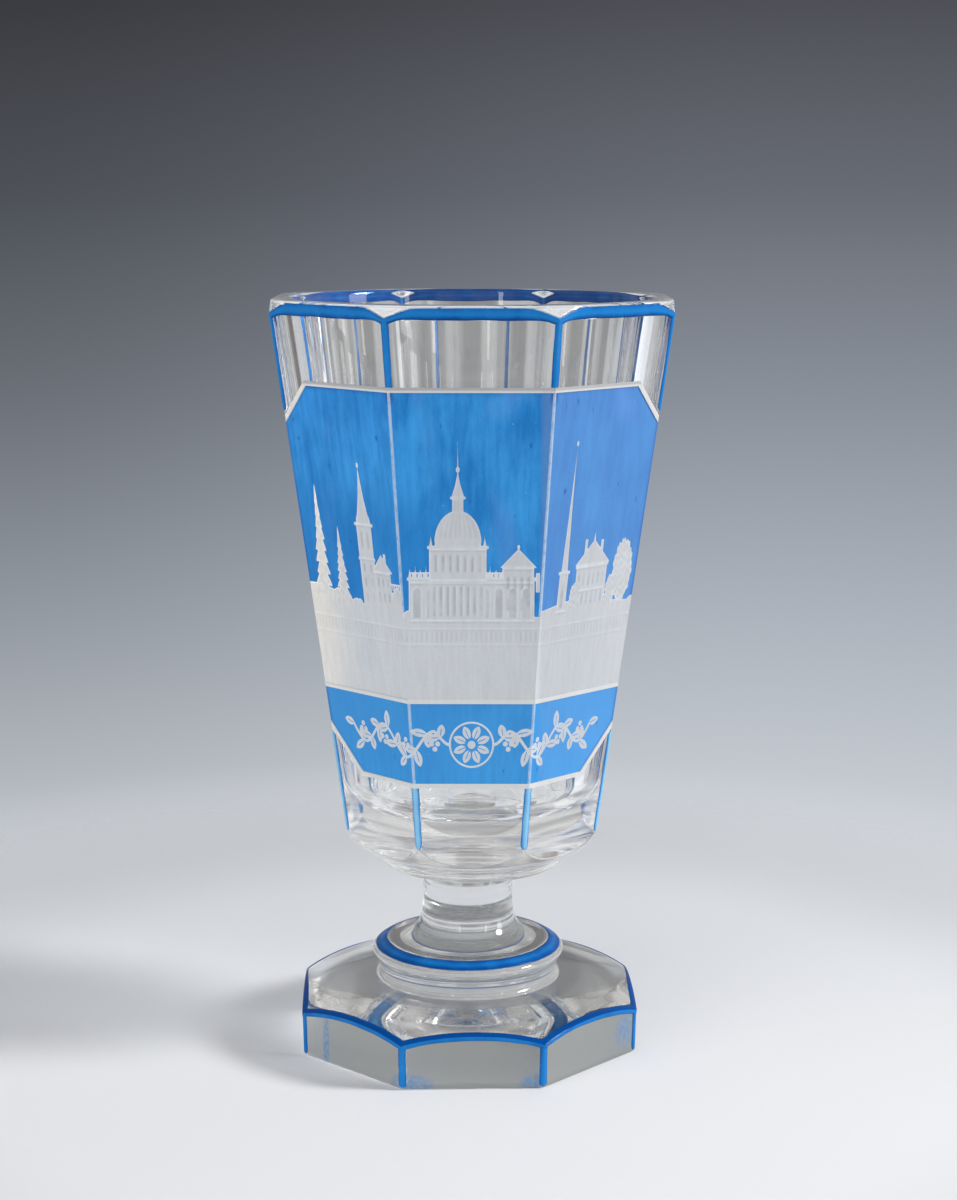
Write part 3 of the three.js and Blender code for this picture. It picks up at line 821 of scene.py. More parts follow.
def bevel_foot(angle):
    """Height where each facet column meets the rim's bevel, from the two straight slopes."""
    flat = np.cos(off_middle(angle))
    closing = BEVEL_SLOPE + math.tan(TILT) / flat
    depth = np.maximum((RIM_APOTHEM / flat - RIM_RADIUS) / closing, 0)
    return RIM_TOP - depth


def eased(count):
    """Shares from 0 to 1 that crowd towards 1: 1 - (1 - t)^2."""
    return 1 - (1 - np.linspace(0, 1, count)) ** 2


def bowl_side_rows():
    """Rows from the heel over the facets to the rim's bevel, as angle, radius and height.

    Heights run from each column's heel crease to its bevel crease and are level between them.
    The radius is the rounded least of the facets', the heel arc's and the bevel's.
    """
    crease_angle = facet_columns(HEEL_APOTHEM)[0]
    limit = heel_limits(crease_angle)
    heel_top = HEEL_CENTRE_HEIGHT + HEEL_RADIUS * np.sin(limit)
    heel_share = eased(HEEL_ROWS)[:, None]
    arc_angle = HEEL_START + (limit[None] - HEEL_START) * heel_share
    heel_height = HEEL_CENTRE_HEIGHT + HEEL_RADIUS * np.sin(arc_angle)
    low_level = FACET_FOOT + LEVEL_START
    rise = 1 - eased(CREASE_ROWS)[::-1][1:, None]
    to_level = heel_top[None] + (low_level - heel_top[None]) * rise
    levels = np.concatenate(
        [
            np.linspace(low_level, PANEL_FOOT, 10)[1:],
            np.linspace(PANEL_FOOT + SEAM_MARGIN, PANEL_FOOT + LOWER_CUT[1], 8),
            np.linspace(PANEL_FOOT + LOWER_CUT[1], PANEL_TOP - UPPER_CUT[1], 14)[1:],
            np.linspace(PANEL_TOP - UPPER_CUT[1], PANEL_TOP - SEAM_MARGIN, 8)[1:],
            np.linspace(PANEL_TOP, BAND_FOOT, 8),
            [BAND_FOOT + SEAM_MARGIN],
        ]
    )
    rim_angle = facet_columns(RIM_APOTHEM)[0]
    top = RIM_TOP - OUTER_LIP
    crease = np.minimum(bevel_foot(rim_angle), top - BEVEL_LEAST)
    to_crease = levels[-1] + (crease[None] - levels[-1]) * eased(CREASE_ROWS - 1)[1:, None]
    to_top = crease[None] + (top - crease[None]) * rise
    flat = np.broadcast_to(levels[:, None], (len(levels), crease.size))
    heights = np.concatenate([heel_height, to_level, flat, to_crease, to_top])
    angles = facet_columns(bowl_apothem(heights.mean(axis=1)))
    bevel = RIM_RADIUS + BEVEL_SLOPE * (RIM_TOP - heights)
    radii = soft_least(bowl_radius(angles, heights), bevel, CREASE)
    return angles, radii, heights


# Waves of the cavity's wall: their height in mm, how far they turn on the way down, their random
# seed, their counts round the wall and their falloff
WALL_WAVES = (
    (0.035, 0.3, 5, (3, 5, 8, 13, 17, 23, 31), 0.4),
    (0.06, 0.0, 9, (2, 3), 1.0),
)


def cavity_rows(angle):
    """The inside from the lip down the wall to the dished floor, with the wall's slow waves."""
    inner_top = RIM_APOTHEM - RIM_WALL
    corner_height = CAVITY_FLOOR + FLOOR_DISH + FLOOR_ROUND
    inner_foot = bowl_apothem(corner_height) - FLOOR_WALL
    slope = math.atan((inner_top - inner_foot) / (RIM_TOP - corner_height))
    corner_radius = inner_foot - FLOOR_ROUND * math.cos(slope)
    lip_angle = np.linspace(math.pi / 2, 0, LIP_ROWS)
    wall_foot = corner_height - FLOOR_ROUND * math.sin(slope)
    wall_height = np.linspace(RIM_TOP - INNER_LIP, wall_foot, WALL_ROWS)
    wall_radius = inner_top - (RIM_TOP - wall_height) * math.tan(slope)
    lip_radius = wall_radius[0] + INNER_LIP * (1 - np.cos(lip_angle))
    lip_height = RIM_TOP - INNER_LIP + INNER_LIP * np.sin(lip_angle)
    arc_angle = np.linspace(-slope, -math.pi / 2, EDGE_ROWS)[1:]
    arc_radius = corner_radius + FLOOR_ROUND * np.cos(arc_angle)
    arc_height = corner_height + FLOOR_ROUND * np.sin(arc_angle)
    floor_share = np.linspace(1, 0, FLOOR_ROWS)[1:]
    radius = np.concatenate([lip_radius, wall_radius[1:], arc_radius, corner_radius * floor_share])
    floor_height = CAVITY_FLOOR + FLOOR_DISH * floor_share**2
    height = np.concatenate([lip_height, wall_height[1:], arc_height, floor_height])
    depth = (RIM_TOP - height)[:, None] / RIM_TOP
    wave = 0
    for high, turn, seed, counts, falloff in WALL_WAVES:
        wave = wave + high * ripple(angle + turn * depth, seed, counts, falloff)
    amount = np.clip(radius / corner_radius, 0, 1) * np.clip(depth * 30, 0, 1)[:, 0]
    return polar(radius[:, None] + wave * amount[:, None], angle, height[:, None])


def bowl_rows():
    """All rows of the bowl, from the stem's seat under it to the middle of the cavity's floor."""
    angles, radii, heights = bowl_side_rows()
    first = angles[:1]
    seat = np.array([0.0, STEM_RADIUS / 2, STEM_RADIUS])[:, None]
    seat_rows = polar(seat, first, STEM_TOP, SEAT_OFFSET)
    under_share = np.linspace(0, 1, 7)[1:][:, None]
    flat_edge = DISC_RADIUS - DISC_ROUND
    under = polar(
        STEM_RADIUS + (flat_edge - STEM_RADIUS) * under_share,
        first,
        STEM_TOP,
        SEAT_OFFSET * (1 - under_share),
    )
    turn = np.linspace(-math.pi / 2, 0, 8)[1:, None]
    disc = polar(
        flat_edge + DISC_ROUND * np.cos(turn),
        first,
        STEM_TOP + DISC_ROUND * (1 + np.sin(turn)),
    )
    wall = polar(DISC_RADIUS, first, STEM_TOP + DISC_HEIGHT - DISC_CREASE)
    sides = polar(radii, angles, heights)
    top_radius, top_angle = radii[-1:], angles[-1:]
    over = np.linspace(0, math.pi / 2, LIP_ROWS)[1:, None]
    lip = polar(
        top_radius - OUTER_LIP * (1 - np.cos(over)),
        top_angle,
        RIM_TOP - OUTER_LIP * (1 - np.sin(over)),
    )
    cavity = cavity_rows(top_angle)
    flat_share = np.array([0.33, 0.67])[:, None, None]
    flat = lip[-1:] + (cavity[:1] - lip[-1:]) * flat_share
    below = np.concatenate([seat_rows, under, disc, wall])
    rows = np.concatenate([below, sides, lip, flat, cavity])
    return rows, len(below), len(sides), len(rows) - len(cavity)


def covered(angle, height):
    """Where the outside lies under enamel, stain or an etched area: there, no glass shows.

    Cells are covered when their middle is within the line's half width of a corner, above the
    rim band's foot, or inside the picture panel, whose outer corners are cut off.
    """
    half = bowl_apothem(height) * TAN_HALF
    from_middle = off_middle(angle)
    facet = np.round((angle - from_middle) / FACET).astype(int) % SIDES
    across = bowl_apothem(height) * np.tan(from_middle)
    under_bevel = height < bevel_foot(angle) - BAND_MARGIN - SEAM_MARGIN
    at_line = (half - np.abs(across) < SEAM_LINE) & (height > LINE_FOOT) & under_bevel
    at_band = (height > BAND_FOOT + SEAM_MARGIN) & (height < RIM_TOP - OUTER_LIP) & under_bevel
    in_panel = np.zeros_like(at_line)
    for side in (-1, 0, 1):
        outwards = half - side * across - CUT_MARGIN if side else np.full_like(half, 99.0)
        upper = PANEL_TOP - SEAM_MARGIN - np.maximum(UPPER_CUT[1] * (1 - outwards / UPPER_CUT[0]), 0)
        lower = PANEL_FOOT + SEAM_MARGIN + np.maximum(LOWER_CUT[1] * (1 - outwards / LOWER_CUT[0]), 0)
        in_panel |= (facet == side % SIDES) & (height < upper) & (height > lower)
    return at_line | at_band | in_panel


def bowl_piece():
    """The bowl: cut sides, smooth rim and wall, and clear seams under the skins and the stem."""
    rows, side_start, side_count, cavity_start = bowl_rows()
    cut, blown, fused, smooth = range(4)
    zones = np.full((len(rows) - 1, rows.shape[1]), cut)
    sides = rows[side_start : side_start + side_count]
    onward = np.roll(sides, -1, axis=1)
    middle = (sides[:-1] + sides[1:] + onward[:-1] + onward[1:]) / 4
    angle, height = np.arctan2(middle[..., 0], -middle[..., 1]), middle[..., 2]
    facets = zones[side_start : side_start + side_count - 1]
    facets[height > bevel_foot(angle)] = smooth
    facets[covered(angle, height)] = fused
    zones[side_start + side_count - 1 : cavity_start] = smooth
    zones[cavity_start:] = blown
    zones[:2] = fused
    piece = turned_piece("clear_bowl", rows, [CUT_GLASS, BLOWN_GLASS, SEAM, DOME_GLASS], zones)
    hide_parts("bowl")


# Stem and collar: turned profiles between two seats, each with one row halfway to its middle

ROUND_COLUMNS = 160
ROUND_ANGLES = np.linspace(0, 2 * math.pi, ROUND_COLUMNS, endpoint=False)[None]

# Turned rings of the stem: height, rise and half width in mm
STEM_RINGS = ((31.9, 0.42, 0.62), (29.4, 0.14, 0.7), (26.0, 0.12, 0.9))
FLARE_HEIGHT = 11


def seat_to_seat(radii, heights):
    """The rows of a turned profile, and its zones: 1 on both seats and 0 between them."""
    radii, heights = np.concatenate(radii), np.concatenate(heights)
    rows = polar(radii[:, None], ROUND_ANGLES, heights[:, None], SEAT_OFFSET)
    zones = np.zeros(len(rows) - 1, int)
    zones[:2] = 1
    zones[-2:] = 1
    return rows, zones


def stem_piece():
    """Radius = cylinder + flare exp(-height / fall), with three faint turned rings."""
    flare = np.linspace(0, 1, 30)[:-1] ** 1.5 * FLARE_HEIGHT
    neck = np.linspace(FLARE_HEIGHT, STEM_TOP - COLLAR_TOP, 24)
    height = np.concatenate([flare, neck])
    z = COLLAR_TOP + height
    radius = STEM_RADIUS + (STEM_FLARE - STEM_RADIUS) * np.exp(-height / STEM_FALL)
    for middle, rise, spread in STEM_RINGS:
        radius = radius + rise * np.exp(-(((z - middle) / spread) ** 2))
    radii = [[0, STEM_FLARE / 2], radius, [radius[-1] / 2, 0]]
    rows, zones = seat_to_seat(radii, [[COLLAR_TOP] * 2, z, [STEM_TOP] * 2])
    piece = turned_piece("clear_stem", rows, [STEM_GLASS, SEAM], zones[:, None])
    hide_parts("stem")


# The collar's round edge and fillet in mm, and the rows of its seam under the enamel ring, as
# shares of the bevel from its outer edge
COLLAR_EDGE_ROUND = 1.0
COLLAR_EDGE_DROP = 0.5
COLLAR_FILLET = 1.1
RING_SEAM = (0.11, 0.5, 0.87)
COLLAR_EDGE = np.radians(np.linspace(-80, 58, 16))
COLLAR_EDGE_RADIUS = COLLAR_RADIUS - COLLAR_EDGE_ROUND * (1 - np.cos(COLLAR_EDGE))
COLLAR_EDGE_HEIGHT = (
    COLLAR_TOP - COLLAR_BEVEL_HEIGHT - COLLAR_EDGE_DROP + COLLAR_EDGE_ROUND * np.sin(COLLAR_EDGE)
)


def collar_piece():
    """A turned profile: fillet, waist, round edge and straight bevel, between two seats."""
    fillet = np.linspace(0, math.pi / 2, 8)
    fillet_height = FOOT_TOP + COLLAR_FILLET * (1 - np.cos(fillet))
    fillet_radius = COLLAR_FLARE - (COLLAR_FLARE - COLLAR_WAIST) * np.sin(fillet)
    edge_radius, edge_height = COLLAR_EDGE_RADIUS, COLLAR_EDGE_HEIGHT
    top_radius = COLLAR_RADIUS - COLLAR_BEVEL_WIDTH
    share = np.array([*RING_SEAM, 1])
    bevel_radius = edge_radius[-1] + (top_radius - edge_radius[-1]) * share
    bevel_height = edge_height[-1] + (COLLAR_TOP - edge_height[-1]) * share
    top = np.linspace(top_radius, STEM_FLARE, 4)[1:]
    radii = [[0, COLLAR_FLARE / 2], fillet_radius, edge_radius, bevel_radius, top, [STEM_FLARE / 2, 0]]
    heights = [[FOOT_TOP] * 2, fillet_height, edge_height, bevel_height, [COLLAR_TOP] * 5]
    rows, zones = seat_to_seat(radii, heights)
    seam = 2 + len(fillet) + len(edge_radius)
    zones[seam : seam + len(RING_SEAM) - 1] = 1
    # The collar's top inside the ring takes the darker glass: painted shade
    zones[seam + len(RING_SEAM) : -2] = 2
    piece = turned_piece("clear_collar", rows, [COLLAR_GLASS, SEAM, SEAT_SHADE_GLASS], zones[:, None])
    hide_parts("collar")


# Foot


def foot_top(radius):
    """A dome, and past the shoulder's radius a second curve on it: falls by squares of the reach.

    Each has its full fall at the foot's corners.
    """
    corner = FOOT_APOTHEM / COS_HALF
    dome = np.maximum(radius - DOME_RADIUS, 0) / (corner - DOME_RADIUS)
    shoulder = np.maximum(radius - SHOULDER_RADIUS, 0) / (corner - SHOULDER_RADIUS)
    return FOOT_TOP - DOME_FALL * dome**2 - SHOULDER_FALL * shoulder**2


def foot_side(angle, height, lift=0.0):
    """The foot's radius at an angle and height: an octagon that widens upwards by its draft."""
    apothem = FOOT_APOTHEM - FOOT_DRAFT * (1 - height / FOOT_TOP) + lift
    return octagon(angle, apothem, CORNER_ROUND)


def seated(points):
    """Points of the foot turned and moved to where the foot stands under the bowl."""
    turned = points @ np.array(Matrix.Rotation(FOOT_TURN, 3, "Z").transposed())
    turned[..., 0] += SEAT_OFFSET
    return turned


# The base's bevel in mm, and the arch line's reach behind as a share of its full reach
BASE_BEVEL = 0.3
REAR_REACH = 0.22


def arch_reach(angle):
    """How far the arch line reaches over the foot's top: least behind, eased by the cosine."""
    share = np.clip((np.cos(angle) + 0.35) / 0.7, 0, 1)
    return ARCH_REACH * (REAR_REACH + (1 - REAR_REACH) * share**2 * (3 - 2 * share))


def foot_piece():
    """Base, bevel, sides and domed top in rows, with seams under the enamel and the collar."""
    columns = facet_columns(FOOT_APOTHEM)
    edge_height = foot_top(foot_side(columns, FOOT_TOP))
    base = octagon(columns, FOOT_APOTHEM - FOOT_DRAFT, CORNER_ROUND)
    base_rows = [polar(base * share, columns, 0.0) for share in (0, 0.5, 0.9)]
    line_foot = edge_height - ARCH_WIDTH + SEAM_MARGIN
    side = []
    for share in (0, 0.25, 0.6, 1):
        inset = BASE_BEVEL * (1 - share) ** 1.5
        height = BASE_BEVEL * share + 0 * columns
        side.append(polar(foot_side(columns, height, -inset), columns, height))
    for share in np.linspace(0, 1, 10)[1:]:
        height = BASE_BEVEL + (line_foot - BASE_BEVEL) * share
        side.append(polar(foot_side(columns, height), columns, height))
    top = [polar(foot_side(columns, edge_height), columns, edge_height)]
    inner = octagon(columns, FOOT_APOTHEM, CORNER_ROUND) - arch_reach(columns) + SEAM_MARGIN
    for share in np.linspace(0, 1, 26):
        radius = inner + (COLLAR_FLARE - inner) * share
        top.append(polar(radius, columns, foot_top(radius)))
    seat = [polar(COLLAR_FLARE * share, columns, FOOT_TOP) for share in (0.5, 0)]
    rows = np.concatenate(base_rows + side + top + seat)
    smooth, fused, ground, under = range(4)
    zones = np.full((len(rows) - 1, rows.shape[1]), smooth)
    first = len(base_rows)
    last = first + len(side)
    zones[: first - 1] = under
    beside = np.minimum(off_corner(columns), np.roll(off_corner(columns), -1)) * FOOT_APOTHEM
    zones[first : last - 1] = np.where(beside < SEAM_LINE - 0.01, fused, ground)
    zones[first : first + 4] = ground
    zones[last - 1 : last + 1] = fused
    zones[-2:] = fused
    glasses = [DOME_GLASS, SEAM, GROUND_GLASS, BASE_GLASS]
    piece = turned_piece("clear_foot", seated(rows), glasses, zones)
    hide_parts("foot")


# Fired enamel lines: thin shells that swell to their middle, with slightly uneven edges

BAND_ROWS = 9
LINE_SHARES = np.linspace(-1, 1, 11)
EDGE_WAVES = (3, 5, 8, 13, 21, 34)

# How the rim band's lower edge sags at the corners: depth and half width in mm
SAG_DEPTH = 0.75
SAG_WIDTH = 1.5

# How far the edges stand in from the ends of the faces that they lie on, in mm
BAND_INSET = 0.1
BAND_TOP_GAP = 0.03
RING_OUTER_INSET = 0.1
RING_INNER_INSET = 0.12

# How far the edges sway: in mm, or as a share of the width for the arch and the corner lines,
# whose middle also drifts by mm
BAND_FOOT_SWAY = 0.14
BAND_TOP_SWAY = 0.03
RING_OUTER_SWAY = 0.07
RING_INNER_SWAY = 0.06
ARCH_FOOT_SWAY = 0.12
ARCH_TOP_SWAY = 0.06
LINE_SWAY = 0.09
LINE_DRIFT = 0.05

# Tones: the band's middle and its rises to foot and top, the ring's middle and rise to its
# edges, the arch's side and top, and what is added at the backs of the band and the ring: a
# painted shade that darkens the band's back and a painted light that pales the ring's back
BAND_TONE = 0.22
BAND_TONE_RISES = (0.7, 0.4)
RING_TONE = 0.5
RING_TONE_RISE = 0.4
ARCH_TONES = (0.45, 0.95)
# Painted shade on the band's back, painted light on the ring's back
BAND_BACK_SHADE = 0.45
RING_BACK_LIGHT = -0.62

# Corner lines: the step between rows in mm, their least count, and the least share of the width
LINE_STEP = 0.45
LINE_ROWS_LEAST = 12
LEAST_TAPER = 0.06


def uneven(along, seed, scale=3.0):
    """Slow random waves along a line in mm, within about -1 to 1: sines of doubling rate."""
    random = np.random.default_rng(seed)
    total = 0.0
    for step in range(5):
        phase = random.uniform(0, 2 * math.pi)
        total = total + np.sin(along * 2**step / scale + phase) / (1 + step)
    return total / 2


def around(angle, seed):
    """Random waves that close on themselves round the beaker, within about -1 to 1."""
    return ripple(angle, seed, EDGE_WAVES, 0.3) * 1.6


def swell(share):
    """The lift of an enamel line over the glass: an ellipse over the line's width."""
    return SKIN_RIM + SKIN_DOME * np.sqrt(np.maximum(1 - share**2, 0))


def enamel_ring(name, node, shares, tones, surface, painted_back_tone=0.0):
    """A closed enamel ring. surface(share, lift) gives points for shares from -1 to 1.

    Its rows run up the front with the swelling lift, then back down behind at the low lift.
    Each share has its tone, from 0 where the enamel is thin and pale to 1 where it is deep.
    Its back, which shows through the glass, takes the last value added to its tones: painted
    shade where it is above 0 and painted light where it is below.
    """
    front = [surface(share, swell(share)) for share in shares]
    back = [surface(share, SKIN_LOW) for share in shares[::-1]]
    rows = np.concatenate(front + back)
    across = np.concatenate([tones, tones[::-1] + painted_back_tone])[:, None]
    piece = ring_piece(
        name, rows, [ENAMEL], {"tone": np.broadcast_to(across, rows.shape[:2])}
    )
    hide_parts(node)


def rim_band():
    """The band under the rim: level at its foot, and scalloped above by the bevelled edge."""
    angle = facet_columns(RIM_APOTHEM)
    beside = off_corner(angle) * RIM_APOTHEM
    sag = SAG_DEPTH * np.exp(-((beside / SAG_WIDTH) ** 2))
    foot = BAND_FOOT + BAND_INSET + BAND_FOOT_SWAY * around(angle, 11) - sag
    top = np.minimum(bevel_foot(angle) - BAND_MARGIN, RIM_TOP - OUTER_LIP - BAND_TOP_GAP)
    top = top + BAND_TOP_SWAY * around(angle, 12)

    def surface(share, lift):
        return on_bowl(angle, foot + (top - foot) * (share + 1) / 2, lift)

    shares = np.linspace(-1, 1, BAND_ROWS)
    to_foot, to_top = BAND_TONE_RISES
    tones = np.where(shares < 0, BAND_TONE - to_foot * shares, BAND_TONE + to_top * shares)
    enamel_ring("enamel_rim_band", "rim_enamel_band", shares, tones, surface, BAND_BACK_SHADE)


def collar_line():
    """The ring on the collar's bevel, from the bevel's inner edge to its rounded outer edge."""
    inner = np.array([COLLAR_RADIUS - COLLAR_BEVEL_WIDTH, COLLAR_TOP])
    outer = np.array([COLLAR_EDGE_RADIUS[-1], COLLAR_EDGE_HEIGHT[-1]])
    length = np.linalg.norm(inner - outer)
    along = (inner - outer) / length
    angle = ROUND_ANGLES
    low = RING_OUTER_INSET + RING_OUTER_SWAY * around(angle, 13)
    high = length - RING_INNER_INSET + RING_INNER_SWAY * around(angle, 14)

    def surface(share, lift):
        distance = low + (high - low) * (share + 1) / 2
        radius = outer[0] + along[0] * distance + along[1] * lift
        height = outer[1] + along[1] * distance - along[0] * lift
        return polar(radius, angle, height, SEAT_OFFSET)

    shares = np.linspace(-1, 1, BAND_ROWS)
    tones = RING_TONE + RING_TONE_RISE * np.abs(shares)
    enamel_ring("enamel_collar_ring", "collar_ring", shares, tones, surface, RING_BACK_LIGHT)


def foot_arch():
    """The line that wraps the foot's upper edge: shares below 0 lie on the sides, the rest on top.

    Its lift turns from outwards to upwards over a short stretch at the edge.
    """
    angle = facet_columns(FOOT_APOTHEM)
    edge = foot_side(angle, FOOT_TOP)
    below = ARCH_WIDTH * (1 + ARCH_FOOT_SWAY * around(angle, 16))
    inside = arch_reach(angle) * (1 + ARCH_TOP_SWAY * around(angle, 15))

    def surface(share, lift):
        radius = edge - inside * max(share, 0)
        height = foot_top(radius) + below * min(share, 0)
        slope = (foot_top(radius - 0.05) - foot_top(radius)) / 0.05
        length = np.hypot(slope, 1)
        turn = np.clip((share + 0.12) / 0.24, 0, 1)
        outwards = (1 - turn) + turn * slope / length
        upwards = turn / length
        return seated(polar(radius + lift * outwards, angle, height + lift * upwards))

    shares = np.concatenate([np.linspace(-1, -0.15, 6), (-0.07, 0, 0.07), np.linspace(0.15, 1, 7)])
    tones = np.where(shares < 0, *ARCH_TONES)
    enamel_ring("enamel_foot_arch", "foot_arch_line", shares, tones, surface)


def corner_line(node, corner, low, high, width, surface, round_low, round_high, seed, tones):
    """A line down a corner. surface(angle, height, lift) gives points on the glass.

    Its half width varies slowly, and falls as a quarter ellipse over a rounded end's length.
    Its tone goes from the first of tones along its middle to the second at its edges; the paler
    middle is thin enamel on the corner with a painted highlight.
    """
    steps = max(int((high - low) / LINE_STEP), LINE_ROWS_LEAST)
    height = low + (high - low) * (1 - np.cos(np.linspace(0, math.pi, steps))) / 2
    end_low = np.clip((height - low) / max(round_low, 1e-3), 0, 1)
    end_high = np.clip((high - height) / max(round_high, 1e-3), 0, 1)
    taper = np.sqrt(1 - (1 - end_low) ** 2) * np.sqrt(1 - (1 - end_high) ** 2)
    taper = np.maximum(taper, LEAST_TAPER)[:, None]
    height = height[:, None]
    middle = FACET * (corner + 0.5)
    radius = np.hypot(*np.moveaxis(surface(middle, height, 0.0), -1, 0)[:2])
    half = width / 2 * COS_HALF * (1 + LINE_SWAY * uneven(height, seed)) * taper
    shift = LINE_DRIFT * uneven(height, seed + 50, 5.0)
    shares = LINE_SHARES[None]
    angle = middle + (shift + half * shares) / radius
    front = surface(angle, height, swell(shares) * taper)
    back = surface(angle[:, ::-1], height, SKIN_LOW * np.ones_like(taper))
    loops = np.concatenate([front, back], axis=1)
    ends = loops[[0, -1]].mean(axis=1, keepdims=True) * np.ones((1, loops.shape[1], 1))
    rows = np.concatenate([ends[:1], loops, ends[1:]])
    tone = tones[0] + (tones[1] - tones[0]) * np.concatenate([shares, shares[:, ::-1]], 1) ** 2
    values = {"tone": np.broadcast_to(tone, rows.shape[:2])}
    piece = turned_piece(f"enamel_{node}", rows, [ENAMEL], None, values)
    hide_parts(node)


def on_bowl(angle, height, lift):
    return polar(bowl_radius(angle, height) + lift, angle, height)


def on_foot(angle, height, lift):
    return seated(polar(foot_side(angle, height, lift), angle, height))


# The bowl's corners by their place, numbered towards +X from the middle front facet's right one
BACK_CORNERS = {"side_left": -3, "rear_left": -4, "rear_right": 3, "side_right": 2}
FRONT_CORNERS = {"outer_left": -2, "inner_left": -1, "inner_right": 0, "outer_right": 1}

# How far lines run on into the rim band, how far they stop short of where the panel's cut corners
# end, and how long their rounded ends are at the facets' foot, the panel and the foot, in mm
INTO_BAND = 0.5
SHORT_OF_CUT = 0.8
CORNER_TIP = 1.2
PANEL_TIP = 1.0
FOOT_TIP = 0.5

# Tones of the lines by their place: along their middle and at their edges. The paler middle is
# thin enamel on the corner with a painted highlight
BACK_TONES = (0.1, 0.7)
UPPER_TONES = (0.15, 0.75)
LOWER_TONES = (-0.55, 0.3)
FOOT_TONES = (0.2, 0.75)


def enamel_lines():
    """The band and two rings, and the lines down the corners of the bowl and the foot."""
    rim_band()
    collar_line()
    foot_arch()
    top = BAND_FOOT + INTO_BAND
    for place, corner in BACK_CORNERS.items():
        line = (corner, LINE_FOOT, top, LINE_WIDTH, on_bowl, CORNER_TIP, 0)
        corner_line(f"edge_line_{place}", *line, 20 + corner, BACK_TONES)
    for place, corner in FRONT_CORNERS.items():
        at_end = place.startswith("outer")
        tip = PANEL_TIP if at_end else 0
        start = PANEL_TOP - (UPPER_CUT[1] - SHORT_OF_CUT if at_end else 0)
        line = (corner, start, top, LINE_WIDTH, on_bowl, tip, 0)
        corner_line(f"upper_edge_line_{place}", *line, 30 + corner, UPPER_TONES)
        end = PANEL_FOOT + (LOWER_CUT[1] - SHORT_OF_CUT if at_end else 0)
        line = (corner, LINE_FOOT, end, LINE_WIDTH, on_bowl, CORNER_TIP, tip)
        corner_line(f"lower_edge_line_{place}", *line, 40 + corner, LOWER_TONES)
    top = float(foot_top(foot_side(FACET / 2, FOOT_TOP))) - ARCH_WIDTH / 2
    for corner in range(SIDES):
        line = (corner, FOOT_LINE_FOOT, top, FOOT_LINE_WIDTH, on_foot, FOOT_TIP, 0)
        corner_line(f"foot_edge_line_{corner + 1}", *line, 60 + corner, FOOT_TONES)


# Picture panel: sheets in the planes of the three front facets.
# Across is measured from the facet's middle, and height above the base, both in mm.

# How far the sheets' backs and fronts stand off the glass, the steps of their grids, and the gap
# to the outer corner, all in mm
SHEET_BACK = 0.02
STAIN_LIFT = 0.09
ETCH_LIFT = 0.05
GRID_ACROSS = 0.19
GRID_UP = 0.19
BAND_GRID_UP = 0.14
COARSE_UP = 0.5
CORNER_GAP = 0.12
SIDE_OF = {"left": -1, "middle": 0, "right": 1}

# The stained fields at the panel's top and foot: level, way inwards, and cut across and up
UPPER_FIELD = (PANEL_TOP, -1, UPPER_CUT)
LOWER_FIELD = (PANEL_FOOT, 1, LOWER_CUT)


def facet_half(height):
    return bowl_apothem(height) * TAN_HALF


def facet_points(side, across, height, lift):
    """Points lifted off a front facet's plane along its normal, which leans down by the tilt."""
    radius = bowl_apothem(height) + lift * math.cos(TILT)
    turn = side * FACET
    return np.stack(
        [
            across * math.cos(turn) + radius * math.sin(turn),
            across * math.sin(turn) - radius * math.cos(turn),
            height - lift * math.sin(TILT),
        ],
        axis=-1,
    )


def outer_edge(height, level, inwards, cut):
    """The reach of a panel field at its outer side, inside the outline, with its corner cut.

    Level is the panel's top or foot, and inwards is -1 or 1. The cut's inner line lies one
    outline's width inside the line between its two ends on the panel's own edges.
    """
    across, up = cut
    rise = up + OUTLINE * math.hypot(across, up) / across
    run = (rise - OUTLINE) * across / up
    depth = (height - level) * inwards
    cut_away = np.clip((rise - depth) / (rise - OUTLINE), 0, 1) * run
    return facet_half(height) - CORNER_GAP - cut_away


def field_grid(side, heights, level, inwards, cut):
    """Across and height of a field's grid: rows up, columns evenly spread over its width."""
    heights = heights[:, None]
    inner = facet_half(heights) + STAIN_LIFT * TAN_HALF
    outer = outer_edge(heights, level, inwards, cut)
    left = -(outer if side == -1 else inner)
    right = outer if side == 1 else inner
    columns = int(2 * facet_half(PANEL_TOP) / GRID_ACROSS)
    share = np.linspace(0, 1, columns)[None]
    return left + (right - left) * share, heights + 0 * share


def smooth_inside(distance, width=0.15):
    """1 well inside, 0 well outside, from a distance that is above zero inside."""
    return np.clip(distance / width + 0.5, 0, 1)


def outline_distance(outline, across, height):
    """Signed distance in mm from points to a closed outline, below zero inside it.

    The least distance to any of its segments, with the sign from how many segments a line
    from the point to the right crosses. Points far from the outline keep a large distance.
    """
    outline = np.asarray(outline, float)
    low, high = outline.min(axis=0) - 1.5, outline.max(axis=0) + 1.5
    near = (across > low[0]) & (across < high[0]) & (height > low[1]) & (height < high[1])
    x, y = across[near], height[near]
    best = np.full(x.shape, 1e9)
    inside = np.zeros(x.shape, bool)
    for (x0, y0), (x1, y1) in zip(outline, np.roll(outline, -1, axis=0)):
        dx, dy = x1 - x0, y1 - y0
        share = np.clip(((x - x0) * dx + (y - y0) * dy) / max(dx * dx + dy * dy, 1e-12), 0, 1)
        best = np.minimum(best, (x - x0 - share * dx) ** 2 + (y - y0 - share * dy) ** 2)
        if dy:
            crossed = (y0 > y) != (y1 > y)
            inside ^= crossed & (x < x0 + (y - y0) * dx / dy)
    signed = np.full(across.shape, 9.0)
    signed[near] = np.where(inside, -1, 1) * np.sqrt(best)
    return signed


